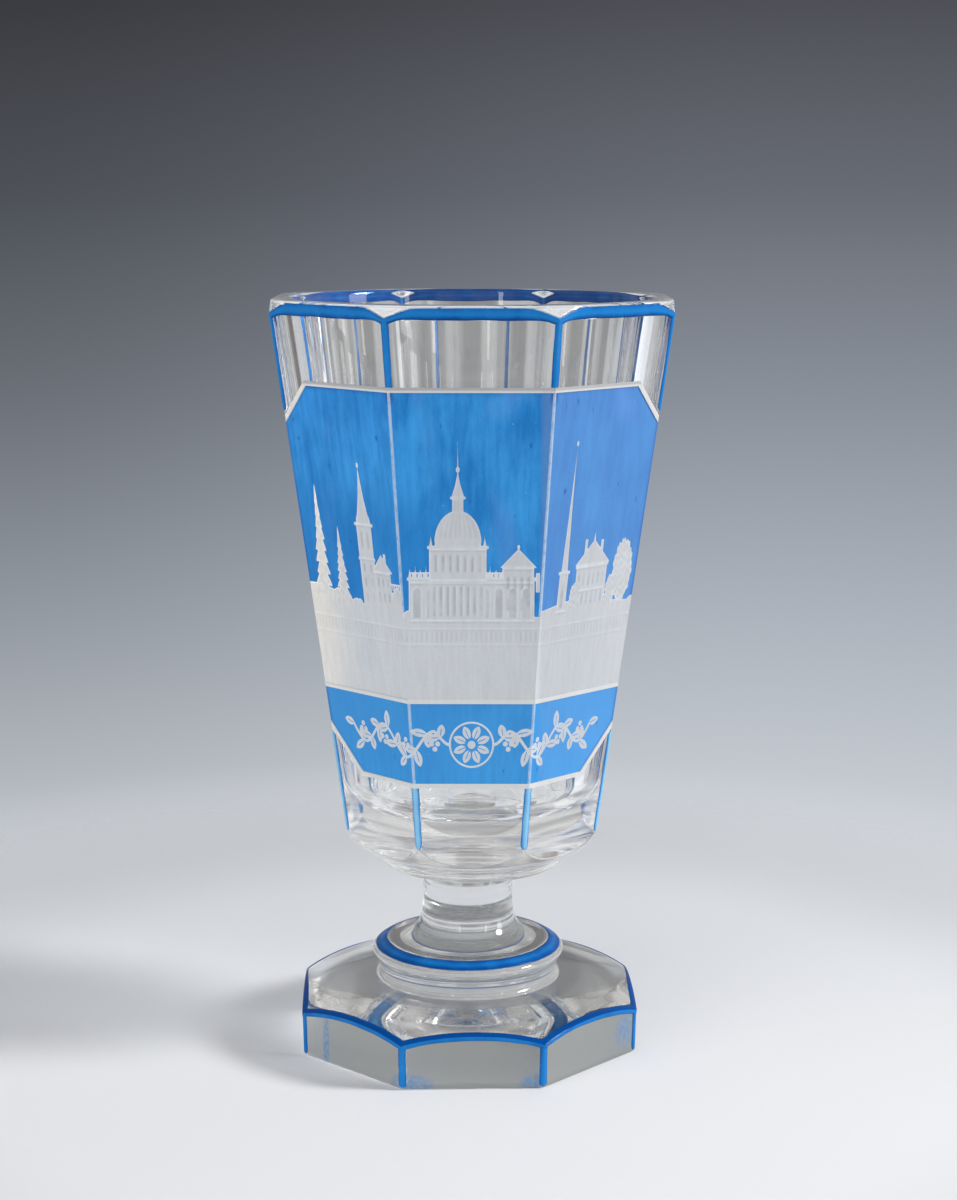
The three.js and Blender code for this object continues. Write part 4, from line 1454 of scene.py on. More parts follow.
# Motifs of the park scene, in units of the picture: 12 across from the middle of a facet to its
# edge, and 40 up from the horizon to the panel's top

ACROSS_UNIT = facet_half(HORIZON) / 12
UP_UNIT = (PANEL_TOP - HORIZON) / 40
HALL_MIDDLE = -2.4
SCENE_TOP = 33


def in_mm(points):
    points = np.asarray(points, float)
    return np.stack([points[:, 0] * ACROSS_UNIT, HORIZON + points[:, 1] * UP_UNIT], axis=-1)


def block(middle, half, low, high):
    left, right = middle - half, middle + half
    return [in_mm([(left, low), (right, low), (right, high), (left, high)])]


def spire(middle, half, low, tip):
    """A roof or finial with slightly hollow sides."""
    rise = tip - low
    right = [(half, 0), (half * 0.42, 0.45 * rise), (half * 0.13, 0.8 * rise), (0.03, rise)]
    points = [(-x, y) for x, y in right][::-1] + right
    return [in_mm([(middle + x, low + y) for x, y in points[::-1]])]


def gable(middle, half, low, tip):
    return [in_mm([(middle - half, low), (middle + half, low), (middle, tip)])]


def disc(middle, across, level, up, scallops=0, depth=0.0, seed=0):
    """An ellipse, or a tree crown whose edge is scalloped by leaf clumps of random size."""
    turn = np.linspace(0, 2 * math.pi, 24 + 10 * scallops, endpoint=False)
    swing = 1 + 0 * turn
    if scallops:
        random = np.random.default_rng(seed)
        for count in (scallops, 2 * scallops + 1):
            swing += depth * np.abs(np.sin(turn * count / 2 + random.uniform(0, 3)))
        swing -= depth
    return [in_mm(np.stack([middle + across * swing * np.cos(turn), level + up * swing * np.sin(turn)], 1))]


def dome(middle, half, low, high):
    turn = np.linspace(0, math.pi, 17)
    return [in_mm([(middle + half * math.cos(t), low + (high - low) * math.sin(t)) for t in turn])]


def cornice(middle, half, level, reach=0.35, depth=0.55):
    return block(middle, half + reach, level - depth, level)


def finials(left, right, level, count, height=1.7, half=0.22):
    """A row of small pointed finials on little blocks along a roof's edge."""
    made = []
    for middle in np.linspace(left, right, count):
        made += block(middle, half, level - 0.2, level + 0.35)
        made += spire(middle, half * 0.95, level + 0.3, level + height)
    return made


def balustrade(left, right, level, count):
    """A pierced rail along a roof: posts with a thin rail over them."""
    middle, half = (left + right) / 2, (right - left) / 2
    made = block(middle, half, level + 0.75, level + 1.0)
    for post in np.linspace(left + 0.15, right - 0.15, count):
        made += block(post, 0.14, level - 0.2, level + 0.8)
    return made


def fir(middle, half, low, tip, seed):
    """A fir tree: tiers that narrow upwards, each with drooping boughs of uneven reach."""
    random = np.random.default_rng(seed)
    tiers = 10
    rise = (tip - low) * 0.94
    step = rise / tiers
    sides = []
    for side in (-1, 1):
        points = []
        for tier in range(tiers):
            share = tier / tiers
            reach = half * (1 - 0.93 * share) * random.uniform(0.86, 1.12)
            level = low + rise * share
            points.append((reach, level - 0.12 * step))
            points.append((reach * 0.92, level + 0.16 * step))
            points.append((reach * 0.5, level + 0.95 * step))
        sides.append([(side * x, y) for x, y in points])
    outline = sides[1] + [(0.05, tip), (-0.05, tip)] + sides[0][::-1]
    return [in_mm([(middle + x, y) for x, y in outline])]


def ground(level, wave, phase, seed):
    """Rolling lawn past both edges of the facet, with low bushes along it."""
    share = np.linspace(1, -1, 41)
    top = level + wave * np.cos(math.pi * share + phase)
    edge = np.stack([share * 14, top], 1)
    foot = (DIVIDER_TOP - HORIZON) / UP_UNIT - 1
    made = [in_mm(np.concatenate([[(-14, foot), (14, foot)], edge]))]
    random = np.random.default_rng(seed)
    for place in np.sort(random.uniform(-12, 12, 9)):
        level_here = level + wave * math.cos(math.pi * place / 14 + phase)
        size = random.uniform(0.5, 1.2)
        made += disc(place, size, level_here, size * random.uniform(0.6, 1.0), 5, 0.12, int(size * 999))
    return made


SCENES = {
    "left": [
        ground(3, 1.2, 2.4, 1),
        fir(-8, 2.6, 0, 22, 2),
        fir(-2.9, 2.2, 0, 15, 3),
        block(4.2, 1.9, 0, 16),
        cornice(4.2, 1.9, 10.2, 0.25),
        cornice(4.2, 1.9, 16.2, 0.5),
        finials(2.6, 5.8, 16.1, 2, 2.0),
        spire(4.2, 1.75, 16, 26),
        disc(4.2, 0.3, 26.2, 0.45),
        spire(4.2, 0.1, 26, 29),
        block(7.9, 2, 0, 8),
        gable(7.9, 2.6, 7.9, 11),
        block(8.8, 0.3, 8, 11.2),
        balustrade(9.6, 12.4, 5.2, 6),
        disc(11.3, 1.7, 2.6, 2.8, 6, 0.1, 4),
    ],
    "middle": [
        ground(1, 0.4, 0, 5),
        block(0, 11, 0, 7.4),
        cornice(0, 11, 7.6, 0.3),
        finials(-10.8, -8.0, 7.6, 4, 1.9),
        finials(3.2, 5.4, 7.6, 3, 1.9),
        balustrade(-10.9, -7.2, 7.5, 8),
        balustrade(2.6, 5.6, 7.5, 7),
        block(HALL_MIDDLE, 5, 0, 13),
        cornice(HALL_MIDDLE, 5, 13.1, 0.35),
        finials(-7.1, -5.3, 13.1, 3, 1.9),
        finials(0.5, 2.3, 13.1, 3, 1.9),
        block(HALL_MIDDLE, 3.9, 12.8, 14.3),
        dome(HALL_MIDDLE, 4.1, 13.6, 19.2),
        block(HALL_MIDDLE, 0.95, 18.4, 21.4),
        cornice(HALL_MIDDLE, 0.95, 21.6, 0.4, 0.45),
        spire(HALL_MIDDLE, 1.1, 21.5, 26),
        disc(HALL_MIDDLE, 0.34, 26.2, 0.5),
        spire(HALL_MIDDLE, 0.1, 26.3, 31),
        block(8.2, 2.7, 0, 9.4),
        gable(8.2, 3.2, 9.3, 12.6),
        disc(8.2, 0.25, 12.9, 0.4),
        block(11.6, 0.35, 5, 8.4),
    ],
    "right": [
        ground(2, 0.8, 0.6, 6),
        block(-7, 1.1, 0, 8),
        cornice(-7, 1.1, 8.1, 0.35),
        spire(-7, 0.8, 8, 30),
        disc(-7, 0.3, 30.2, 0.45),
        block(0.2, 4, 0, 8.6),
        cornice(0.2, 4, 8.7, 0.3),
        gable(0.2, 4.6, 8.6, 13),
        block(-1.9, 0.35, 9, 13.2),
        block(2.3, 0.35, 9, 12.8),
        finials(0.2, 0.2, 12.8, 1, 2.2),
        disc(8.4, 2.5, 6.8, 5.4, 11, 0.09, 7),
        disc(5.6, 1.2, 3.6, 2.6, 7, 0.1, 8),
        disc(-3.9, 1.1, 3.2, 2.4, 7, 0.1, 9),
    ],
}


def scene_distance(place, across, height):
    """Signed distance to the whole scene: the least of its motifs' distances."""
    least = np.full(across.shape, 9.0)
    for motif in SCENES[place]:
        for outline in motif:
            least = np.minimum(least, outline_distance(outline, across, height))
    return least


# Wheel engraving in the etched areas: above zero is brighter and below zero darker. The sizes are
# in units of the picture: the soft edges of cuts and arches and the soft ends of cuts, the half
# widths of bright lines, ledges and rims, and how far each stands from its dark cut.

CUT_EDGE = 0.2
ARCH_EDGE = 0.25
CUT_END = 0.3
BRIGHT_HALF = 0.09
LEDGE_HALF = 0.14
RIM_HALF = 0.12
BRIGHT_GAP = 0.12
LEDGE_STEP = 0.35
RIM_GAP = 0.22


def grooves(u, v, middle, half, low, high, columns, rows, width, length, bright=0.5):
    """A grid of upright cuts, each dark with a bright right edge, in units of the picture."""
    pitch_u, pitch_v = 2 * half / columns, (high - low) / rows
    place_u, place_v = (u - middle + half) / pitch_u, (v - low) / pitch_v
    inside = (place_u > 0) & (place_u < columns) & (place_v > 0) & (place_v < rows)
    off_u = (place_u % 1 - 0.5) * pitch_u
    off_v = (place_v % 1 - 0.5) * pitch_v
    tall = smooth_inside(length / 2 - np.abs(off_v), CUT_END)
    dark = smooth_inside(width / 2 - np.abs(off_u), CUT_EDGE) * tall
    light = smooth_inside(BRIGHT_HALF - np.abs(off_u - width / 2 - BRIGHT_GAP), CUT_EDGE) * tall
    return np.where(inside, bright * light - dark, 0)


def ledge(u, v, middle, half, level):
    """A level moulding: a bright line over a dark one."""
    across = smooth_inside(half - np.abs(u - middle), CUT_EDGE)
    bright = smooth_inside(LEDGE_HALF - np.abs(v - level), CUT_EDGE)
    dark = smooth_inside(LEDGE_HALF - np.abs(v - level + LEDGE_STEP), CUT_EDGE)
    return across * (bright - 0.6 * dark)


def arcade(u, v, middle, half, low, high, count, opening):
    """Round arches side by side: dark openings with bright rims."""
    pitch = 2 * half / count
    off = ((u - middle + half) / pitch % 1 - 0.5) * pitch
    spring = high - opening
    reach = np.where(v > spring, np.hypot(off, v - spring), np.abs(off))
    inside = (np.abs(u - middle) < half) & (v > low) & (v < high + 0.5)
    dark = smooth_inside(opening - reach, ARCH_EDGE)
    rim = smooth_inside(RIM_HALF - np.abs(reach - opening - RIM_GAP), ARCH_EDGE)
    return np.where(inside, 0.6 * rim - 0.8 * dark, 0)


def boughs(u, v, middle, rate):
    """Hanging needles and leaves: strokes that droop away from the trunk."""
    away = np.abs(u - middle)
    return 0.55 * np.sin(rate * (v + 0.7 * away) + 1.3 * np.sin(5 * u)) * np.cos(7 * u + v)


def moat(u, v):
    """Ripples of light on the water under the bank."""
    water = np.sin(2.3 * u + 2.5 * np.sin(0.7 * v)) * np.sin(5.2 * v + 0.8 * np.sin(0.9 * u))
    return np.where(v < -5, 0.16 * np.clip(2 * water - 0.9, 0, 1), 0)


def wing_arches(u, v):
    """Arches along the wings, left out where the hall stands before them."""
    return arcade(u, v, 0, 10.8, 0.4, 5.6, 9, 0.62) * (np.abs(u - HALL_MIDDLE) > 5)


def dome_ribs(u, v):
    """Dark ribs that run together towards the dome's top."""
    off = u - HALL_MIDDLE
    ribs = np.sin(2.1 * off / np.sqrt(np.clip(1.02 - ((v - 13.6) / 5.7) ** 2, 0.05, 1)) * 1.7)
    return np.where((v > 14.4) & (v < 19) & (np.abs(off) < 4), -0.5 * np.abs(ribs) ** 6, 0)


def needle_line(u, v):
    """A dark line up the middle of the right facet's needle."""
    return np.where((v > 8.2) & (np.abs(u + 7) < 0.12), -0.5, 0)


# The cuts in each facet's buildings: the kind of cut and its sizes in units of the picture
BUILDING_CUTS = {
    "left": [
        (grooves, 4.2, 1.7, 2, 9.6, 2, 3, 0.5, 1.5),
        (grooves, 4.2, 1.5, 11, 15.4, 2, 1, 0.55, 2.8),
        (ledge, 4.2, 2.1, 10),
        (ledge, 4.2, 2.3, 15.9),
        (grooves, 7.9, 1.8, 2.2, 7.4, 3, 2, 0.45, 1.5),
        (ledge, 7.9, 2.5, 7.8),
    ],
    "middle": [
        (wing_arches,),
        (ledge, 0, 11, 6.7),
        (ledge, 0, 11, 0),
        (grooves, HALL_MIDDLE, 4.7, 0.6, 6.2, 8, 1, 0.5, 5.2, 0.9),
        (grooves, HALL_MIDDLE, 4.5, 8, 12, 7, 1, 0.5, 2.9, 0.7),
        (ledge, HALL_MIDDLE, 5, 7.1),
        (ledge, HALL_MIDDLE, 5, 12.5),
        (dome_ribs,),
        (grooves, HALL_MIDDLE, 0.85, 18.8, 21.2, 3, 1, 0.3, 1.8),
        (grooves, 8.2, 2.4, 1, 8.4, 4, 2, 0.5, 2.2),
        (ledge, 8.2, 3, 9.2),
    ],
    "right": [
        (grooves, -7, 0.8, 1, 6.5, 1, 1, 0.7, 4.2),
        (ledge, -7, 1.3, 7.8),
        (ledge, -7, 1.3, 1),
        (needle_line,),
        (grooves, 0.2, 3.7, 1, 7.6, 6, 2, 0.5, 2.0),
        (ledge, 0.2, 4.2, 8.3),
        (ledge, 0.2, 4, 4.2),
    ],
}

# The trees whose boughs are cut: middle, half width, top and strokes per unit of height
TREES = {
    "left": [(-8, 2.8, 22, 3.1), (-2.9, 2.4, 15, 3.4)],
    "middle": [],
    "right": [(8.4, 2.8, 12.6, 4.2), (5.6, 1.4, 6.4, 5.0), (-3.9, 1.3, 5.8, 5.0)],
}


# The cuts that run on over all facets, as strength, kind and sizes: a wall's two ledges, its
# posts and the water under it
BANK_CUTS = (
    (0.5, ledge, 0, 14, -1.4),
    (0.4, ledge, 0, 14, -4.2),
    (0.45, grooves, 0, 13.5, -3.9, -1.8, 31, 1, 0.36, 1.7, 0.6),
    (1, moat),
)

# The scene's bright rim, a highlight painted along its outline, and the end of the cuts, by the
# distance in mm from the outline
SCENE_HIGHLIGHT_EDGE = -0.28
SCENE_HIGHLIGHT_SOFT = 0.16
CUTS_END = -0.12


def engraving(place, across, height, distance):
    """All cuts of one facet: its bank and water, buildings, trees, and the scene's bright rim, a
    highlight painted along its outline.
    """
    u, v = across / ACROSS_UNIT, (height - HORIZON) / UP_UNIT
    value = 0
    for strength, cut, *sizes in BANK_CUTS:
        value = value + strength * cut(u, v, *sizes)
    for cut, *sizes in BUILDING_CUTS[place]:
        value = value + cut(u, v, *sizes)
    for middle, half, top, rate in TREES[place]:
        under = (np.abs(u - middle) < half) & (v > 1) & (v < top)
        value = np.where(under, boughs(u, v, middle, rate), value)
    # The bright rim: a highlight painted along the scene's outline
    rim = 0.9 * smooth_inside(distance + 0.2, SCENE_HIGHLIGHT_SOFT) * (distance > SCENE_HIGHLIGHT_EDGE)
    return np.clip(value * (distance < CUTS_END) + rim, -1, 1)


# The stain itself: darker where it pooled, pale along the corners, where the stain wears thin
# and a highlight is painted on the edge

# Sizes in mm of the line under the outline, of the drips at inner corners and of the pool at the
# outer side, and how far the outer corner's wear and painted edge highlight are held off
POOL_STRENGTH = {"left": 0.95, "middle": 0.3, "right": 0.22}
POOL_DEPTH = 0.42
DRIP_OFF = 0.25
DRIP_WIDTH = 0.42
DRIP_LENGTH = 1.7
OUTER_POOL = 0.45
OUTER_WIDTH = 0.5
SPOTS = 13
OUTER_KEPT = 0.22


def stain_pool(place, across, height, outer_reach):
    """Pooled stain: a line under the outline, drips at the corners and small dark spots."""
    side = SIDE_OF[place]
    above_horizon = height > HORIZON
    depth = PANEL_TOP - OUTLINE - height
    wavering = 0.65 + 0.35 * uneven(across, 71 + side, 4.0)
    line = np.exp(-((depth / POOL_DEPTH) ** 2))
    pool = POOL_STRENGTH[place] * wavering * line * above_horizon
    for end in {-1, 1} - {side}:
        from_corner = np.abs(across - end * facet_half(height))
        beside = np.exp(-(((from_corner - DRIP_OFF) / DRIP_WIDTH) ** 2))
        drip = beside * np.exp(-((depth / DRIP_LENGTH) ** 4))
        pool = np.maximum(pool, 0.95 * drip * above_horizon)
    outer = np.exp(-((np.maximum(outer_reach, 0) / OUTER_WIDTH) ** 2))
    pool = np.maximum(pool, OUTER_POOL * outer)
    random = np.random.default_rng(80 + side)
    for _ in range(SPOTS):
        x, z = random.uniform(-12, 12), random.uniform(56, 124)
        wide, tall = random.uniform(0.12, 0.3), random.uniform(0.2, 0.55)
        spot = np.exp(-(((across - x) / wide) ** 2) - (((height - z) / tall) ** 2))
        pool = np.maximum(pool, random.uniform(0.4, 0.95) * spot)
    return pool


def corner_distance(place, across, height):
    """Distance in mm to the nearest corner of the facet, more at the panel's outer side."""
    half = facet_half(height)
    kept = {SIDE_OF[place]: OUTER_KEPT}
    return np.minimum(*[np.abs(across - end * half) + kept.get(end, 0) for end in (-1, 1)])


def field_values(place, across, height, etch, engrave, level, inwards, cut):
    """What each point of a field carries: across, height and the four values of its skins."""
    side = SIDE_OF[place]
    outer = outer_edge(height, level, inwards, cut) - side * across if side else across * 0 + 9
    pool = stain_pool(place, across, height, outer)
    corner = corner_distance(place, across, height)
    return np.stack([across, height, etch, engrave, pool, corner], axis=-1)


SKIN_VALUES = ("etch", "engrave", "pool", "corner")


# Cutting a grid along a contour, and closing cut grids into thin bodies


def cell_polygons(inside, joined):
    """The parts of a cell on the inside of the contour, as numbers of its local points.

    Points 0 to 3 are the cell's corners in turn, and 4 to 7 the crossings on the sides after
    them. Where opposite corners are inside, the cell is one polygon if joined, or else two.
    """
    if not joined and list(inside) in ([True, False] * 2, [False, True] * 2):
        return [[4 + (i - 1) % 4, i, 4 + i] for i in range(4) if inside[i]]
    polygon = []
    for i in range(4):
        if inside[i]:
            polygon.append(i)
        if inside[i] != inside[(i + 1) % 4]:
            polygon.append(4 + i)
    return [polygon] if polygon else []


def cut_grid(values, distance, below):
    """Points and faces of the part of a grid where the distance is below zero, or is not.

    values (rows, columns, n) are carried to every point. On a grid line that the contour
    crosses, the new point divides it in the ratio of the two distances.
    """
    rows, columns, size = values.shape
    index = np.arange(rows * columns).reshape(rows, columns)

    def crossings(first, second, start):
        gap = distance.ravel()[first] - distance.ravel()[second]
        share = distance.ravel()[first] / np.where(np.abs(gap) < 1e-9, 1e-9, gap)
        share = np.clip(share, 0.04, 0.96)[..., None]
        flat = values.reshape(-1, size)
        made = flat[first] * (1 - share) + flat[second] * share
        return made.reshape(-1, size), start + np.arange(first.size).reshape(first.shape)

    level, level_index = crossings(index[:, :-1], index[:, 1:], index.size)
    upright, upright_index = crossings(index[:-1], index[1:], index.size + level_index.size)
    points = np.concatenate([values.reshape(-1, size), level, upright])
    local = np.stack(
        [
            index[:-1, :-1], index[:-1, 1:], index[1:, 1:], index[1:, :-1],
            level_index[:-1], upright_index[:, 1:], level_index[1:], upright_index[:, :-1],
        ],
        axis=-1,
    ).reshape(-1, 8)
    inside = (distance.ravel() < 0) == below
    flags = inside[local[:, :4]]
    code = flags @ np.array([1, 2, 4, 8])
    faces = {}
    for case in range(1, 16):
        cells = local[code == case]
        pattern = [bool(case >> i & 1) for i in range(4)]
        for polygon in cell_polygons(pattern, below):
            faces.setdefault(len(polygon), []).append(cells[:, polygon])
    faces = [np.concatenate(parts) for parts in faces.values()]
    used, flat = np.unique(np.concatenate([f.ravel() for f in faces]), return_inverse=True)
    renumbered, start = [], 0
    for group in faces:
        renumbered.append(flat[start : start + group.size].reshape(group.shape))
        start += group.size
    return points[used], renumbered


def sheet_piece(name, side, points, faces, lift, materials):
    """A thin closed body on a facet: the faces, the same faces behind, and walls round them."""
    count = len(points)
    front = facet_points(side, points[:, 0], points[:, 1], lift)
    back = facet_points(side, points[:, 0], points[:, 1], SHEET_BACK)
    edges = np.concatenate([np.stack([f, np.roll(f, -1, axis=1)], -1).reshape(-1, 2) for f in faces])
    forth, reverse = edges @ [count, 1], edges @ [1, count]
    rim = edges[~np.isin(forth, reverse)]
    walls = np.stack([rim[:, 1], rim[:, 0], rim[:, 0] + count, rim[:, 1] + count], axis=-1)
    behind = [f[:, ::-1] + count for f in faces]
    groups = list(faces) + [walls] + behind
    slots = np.ones(sum(len(f) for f in groups), int)
    slots[: sum(len(f) for f in faces)] = 0
    values = {key: np.tile(points[:, 2 + i], 2) for i, key in enumerate(SKIN_VALUES)}
    everything = np.concatenate([front, back])
    return build_mesh(name, everything, groups, materials, slots, False, values)


def picture(place):
    """The stained sky and the etched scene of one facet, cut apart along the scene's outline."""
    side = SIDE_OF[place]
    fine_top = HORIZON + SCENE_TOP * UP_UNIT
    fine = np.linspace(DIVIDER_TOP, fine_top, int((fine_top - DIVIDER_TOP) / GRID_UP))
    top = PANEL_TOP - OUTLINE
    coarse = np.linspace(fine_top, top, int((top - fine_top) / COARSE_UP))[1:]
    across, height = field_grid(side, np.concatenate([fine, coarse]), *UPPER_FIELD)
    distance = scene_distance(place, across, height)
    engraved = engraving(place, across, height, distance)
    values = field_values(place, across, height, distance, engraved, *UPPER_FIELD)
    points, faces = cut_grid(values, distance, False)
    sky = sheet_piece(f"sky_{place}", side, points, faces, STAIN_LIFT, [STAIN, STAIN])
    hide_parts(f"stained_sky_{place}")
    points, faces = cut_grid(values, distance, True)
    scene = sheet_piece(f"scene_{place}", side, points, faces, ETCH_LIFT, [ETCHED, SEAM])
    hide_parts(f"etched_scene_{place}")


# A leafy garland with a rosette, etched through the lower band of stain. Its sizes are in mm on
# the band rolled out flat, where each facet is two GARLAND_HALF wide.

GARLAND_HALF = 11.5
GARLAND_LEVEL = 62.2
GARLAND_END = 27.5
WAVE_LENGTH = 11.8
WAVE_HEIGHT = 2.5
VINE_START = 4.1
VINE_HALF = 0.26
LEAF_LENGTHS = (3.3, 2.5)
LEAF_WIDTH = 0.74
LEAF_SPREAD = math.radians(52)
LEAVES_PER_WAVE = 5
BERRY_RADIUS = 0.47
BERRY_DROP = 2.3
PETALS = 8
PETAL_START = 1.1
PETAL_LENGTH = 2.6
PETAL_WIDTH = 0.72
EYE_RADIUS = 0.75
RING_RADIUS = 4.15
RING_HALF = 0.18


def vine_level(u):
    """The vine's height: a wave that fades in beside the rosette and rises to its two ends."""
    beside = np.clip((np.abs(u) - VINE_START) / 3, 0, 1)
    wave = WAVE_HEIGHT * beside * np.sin(2 * math.pi * (np.abs(u) - VINE_START) / WAVE_LENGTH)
    return GARLAND_LEVEL + wave + 2.6 * np.clip((np.abs(u) - 16) / 14, 0, 1) ** 1.5


def leaf_distance(u, z, place_u, place_z, angle, length, width):
    """Signed distance to a leaf with a vein: the overlap of two equal discs, less a groove."""
    along = (u - place_u) * math.cos(angle) + (z - place_z) * math.sin(angle) - length / 2
    off = (z - place_z) * math.cos(angle) - (u - place_u) * math.sin(angle)
    sunk = (length**2 / 4 - width**2) / (2 * width)
    leaf = np.hypot(along, np.abs(off) + sunk) - sunk - width
    vein = np.where(along < length * 0.22, 0.1 - np.abs(off), -9)
    return np.maximum(leaf, vein)


def vine_point(u):
    """The vine's height and its angle to the level at one place."""
    rise = float(vine_level(u + 0.1) - vine_level(u - 0.1)) / 0.2
    return float(vine_level(u)), math.atan(rise)


def vine_distances(u, z):
    """Distances to the vine, its paired leaves, the leaf at its end and its berries."""
    slope = (vine_level(u + 0.05) - vine_level(u - 0.05)) / 0.1
    vine = np.abs(z - vine_level(u)) / np.hypot(1, slope) - VINE_HALF
    yield np.maximum(vine, np.maximum(VINE_START - u, u - GARLAND_END))
    starts = np.arange(VINE_START + 1.9, GARLAND_END - 0.5, WAVE_LENGTH / LEAVES_PER_WAVE)
    for number, place_u in enumerate(starts):
        place_z, turn = vine_point(place_u)
        for way in (-1, 1):
            length = LEAF_LENGTHS[(number + (way > 0)) % 2]
            yield leaf_distance(u, z, place_u, place_z, turn + way * LEAF_SPREAD, length, LEAF_WIDTH)
    tip_z, _ = vine_point(GARLAND_END)
    yield leaf_distance(u, z, GARLAND_END - 0.2, tip_z, 0.25, 2.6, 0.75)
    for wave in range(2):
        for way, share in ((1, 0.25), (-1, 0.75)):
            berry_u = VINE_START + WAVE_LENGTH * (wave + share)
            berry_z = vine_point(berry_u)[0] - way * BERRY_DROP
            for du, dz in ((-0.58, 0), (0.58, 0), (0, -0.98 * way)):
                yield np.hypot(u - berry_u - du, z - berry_z - dz) - BERRY_RADIUS


def rosette_distances(u, z):
    """Distances to the rosette's petals, its round middle and the ring about it."""
    for petal in range(PETALS):
        angle = (petal + 0.5) * 2 * math.pi / PETALS
        start_u = PETAL_START * math.cos(angle)
        start_z = GARLAND_LEVEL + PETAL_START * math.sin(angle)
        yield leaf_distance(u, z, start_u, start_z, angle, PETAL_LENGTH, PETAL_WIDTH)
    from_middle = np.hypot(u, z - GARLAND_LEVEL)
    yield from_middle - EYE_RADIUS
    yield np.abs(from_middle - RING_RADIUS) - RING_HALF


def garland_distance(u, z):
    """Signed distance to the whole garland, from u, which runs on over the facets' corners."""
    least = np.full(u.shape, 99.0)
    for distances in (vine_distances(np.abs(u), z), rosette_distances(u, z)):
        for distance in distances:
            least = np.minimum(least, distance)
    return least


def lower_band(place):
    """The lower band of stain on one facet, with the garland as a distance for its finish."""
    side = SIDE_OF[place]
    foot = PANEL_FOOT + OUTLINE
    heights = np.linspace(foot, DIVIDER_FOOT, int((DIVIDER_FOOT - foot) / BAND_GRID_UP))
    across, height = field_grid(side, heights, *LOWER_FIELD)
    unrolled = (across / facet_half(height) + 2 * side) * GARLAND_HALF
    garland = garland_distance(unrolled, height)
    values = field_values(place, across, height, garland, 0 * across, *LOWER_FIELD)
    points, faces = cut_grid(values, np.ones_like(garland), False)
    band = sheet_piece(f"band_{place}", side, points, faces, STAIN_LIFT, [STAIN, STAIN])
    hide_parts(f"stained_band_{place}")


# Camera, light and stage

# The photo's viewing point in metres, its tilt below the level and its roll in radians
CAMERA_PLACE = (0.0012, -0.4364, 0.1588)
CAMERA_TILT = 0.1702
CAMERA_ROLL = 0.0013
LENS_MM = 71.3
SENSOR_MM = 36.0


def camera():
    """The photo's own viewing point: its height, distance, tilt and field of view."""
    data = bpy.data.cameras.new("camera")
    data.sensor_width = SENSOR_MM
    data.lens = LENS_MM
    data.clip_start = 0.01
    holder = bpy.data.objects.new("camera", data)
    tilt = Matrix.Rotation(math.pi / 2 - CAMERA_TILT, 4, "X")
    roll = Matrix.Rotation(CAMERA_ROLL, 4, "Z")
    holder.matrix_world = Matrix.Translation(CAMERA_PLACE) @ tilt @ roll
    bpy.context.scene.collection.objects.link(holder)
    bpy.context.scene.camera = holder


# Colours of the surroundings by the upward part of the direction
BACKDROP = (
    (-0.40, (0.825, 0.835, 0.865)),
    (-0.33, (0.743, 0.752, 0.785)),
    (-0.25, (0.570, 0.603, 0.647)),
    (-0.17, (0.408, 0.446, 0.500)),
    (-0.086, (0.256, 0.284, 0.326)),
    (0.0, (0.138, 0.148, 0.176)),
    (0.08, (0.075, 0.077, 0.090)),
    (1.0, (0.05, 0.053, 0.066)),
)
STUDIO_BACK = (
    (-0.41, (0.83, 0.84, 0.87)),
    (-0.25, (0.57, 0.60, 0.65)),
    (-0.085, (0.38, 0.385, 0.39)),
    (0.0, (0.39, 0.385, 0.38)),
    (0.12, (0.42, 0.41, 0.40)),
    (0.28, (0.47, 0.465, 0.455)),
    (0.5, (0.46, 0.455, 0.445)),
    (0.85, (0.17, 0.165, 0.16)),
    (1.0, (0.10, 0.10, 0.10)),
)
STUDIO_FRONT = (
    (-0.41, (0.84, 0.85, 0.88)),
    (-0.2, (0.62, 0.62, 0.62)),
    (0.0, (0.46, 0.44, 0.42)),
    (0.2, (0.52, 0.51, 0.50)),
    (0.45, (0.74, 0.74, 0.73)),
    (0.82, (0.74, 0.74, 0.73)),
    (0.95, (0.12, 0.12, 0.12)),
    (1.0, (0.10, 0.10, 0.10)),
)
AMBIENT = 0.36
AMBIENT_TINT = (0.98, 0.99, 1, 1)
LOWEST, HIGHEST = -0.5, 1.0

# Windows of the room, which only mirror and glass show: the middle and half width of each in
# degrees from +X, its lower and upper end as upward parts of the direction, and its strength
WINDOWS = (
    (-8, 8, 0.1, 0.5, 8.0),
    (-45, 2.2, 0.18, 0.5, 9.0),
    (-109, 1.8, 0.18, 0.5, 9.0),
    (33, 17, -0.45, 0.25, 0.75),
    (112, 1.6, -0.35, 0.25, 1.0),
)
DOOR = (127, 8, -0.35, 0.25, 0.85)
DOOR_TINT = (0.14, 0.105, 0.09)
SOFT_END = 0.02

# Ramps over the parts of a direction: x where the backdrop darkens to the left, z where it
# darkens upwards, y where the studio turns from front to back, and z where its stripes begin
# and end
DARKER_LEFT = (0.13, -0.22)
DARKER_UP = (-0.42, 0.0)
FRONT_TO_BACK = (-0.25, 0.35)
STRIPES_BEGIN = (-0.3, -0.05)
STRIPES_END = (0.75, 0.35)
DARKENING = 0.46
STRIPE_RATE = 5.5
STRIPE_STRENGTHS = (0.62, 1.22)


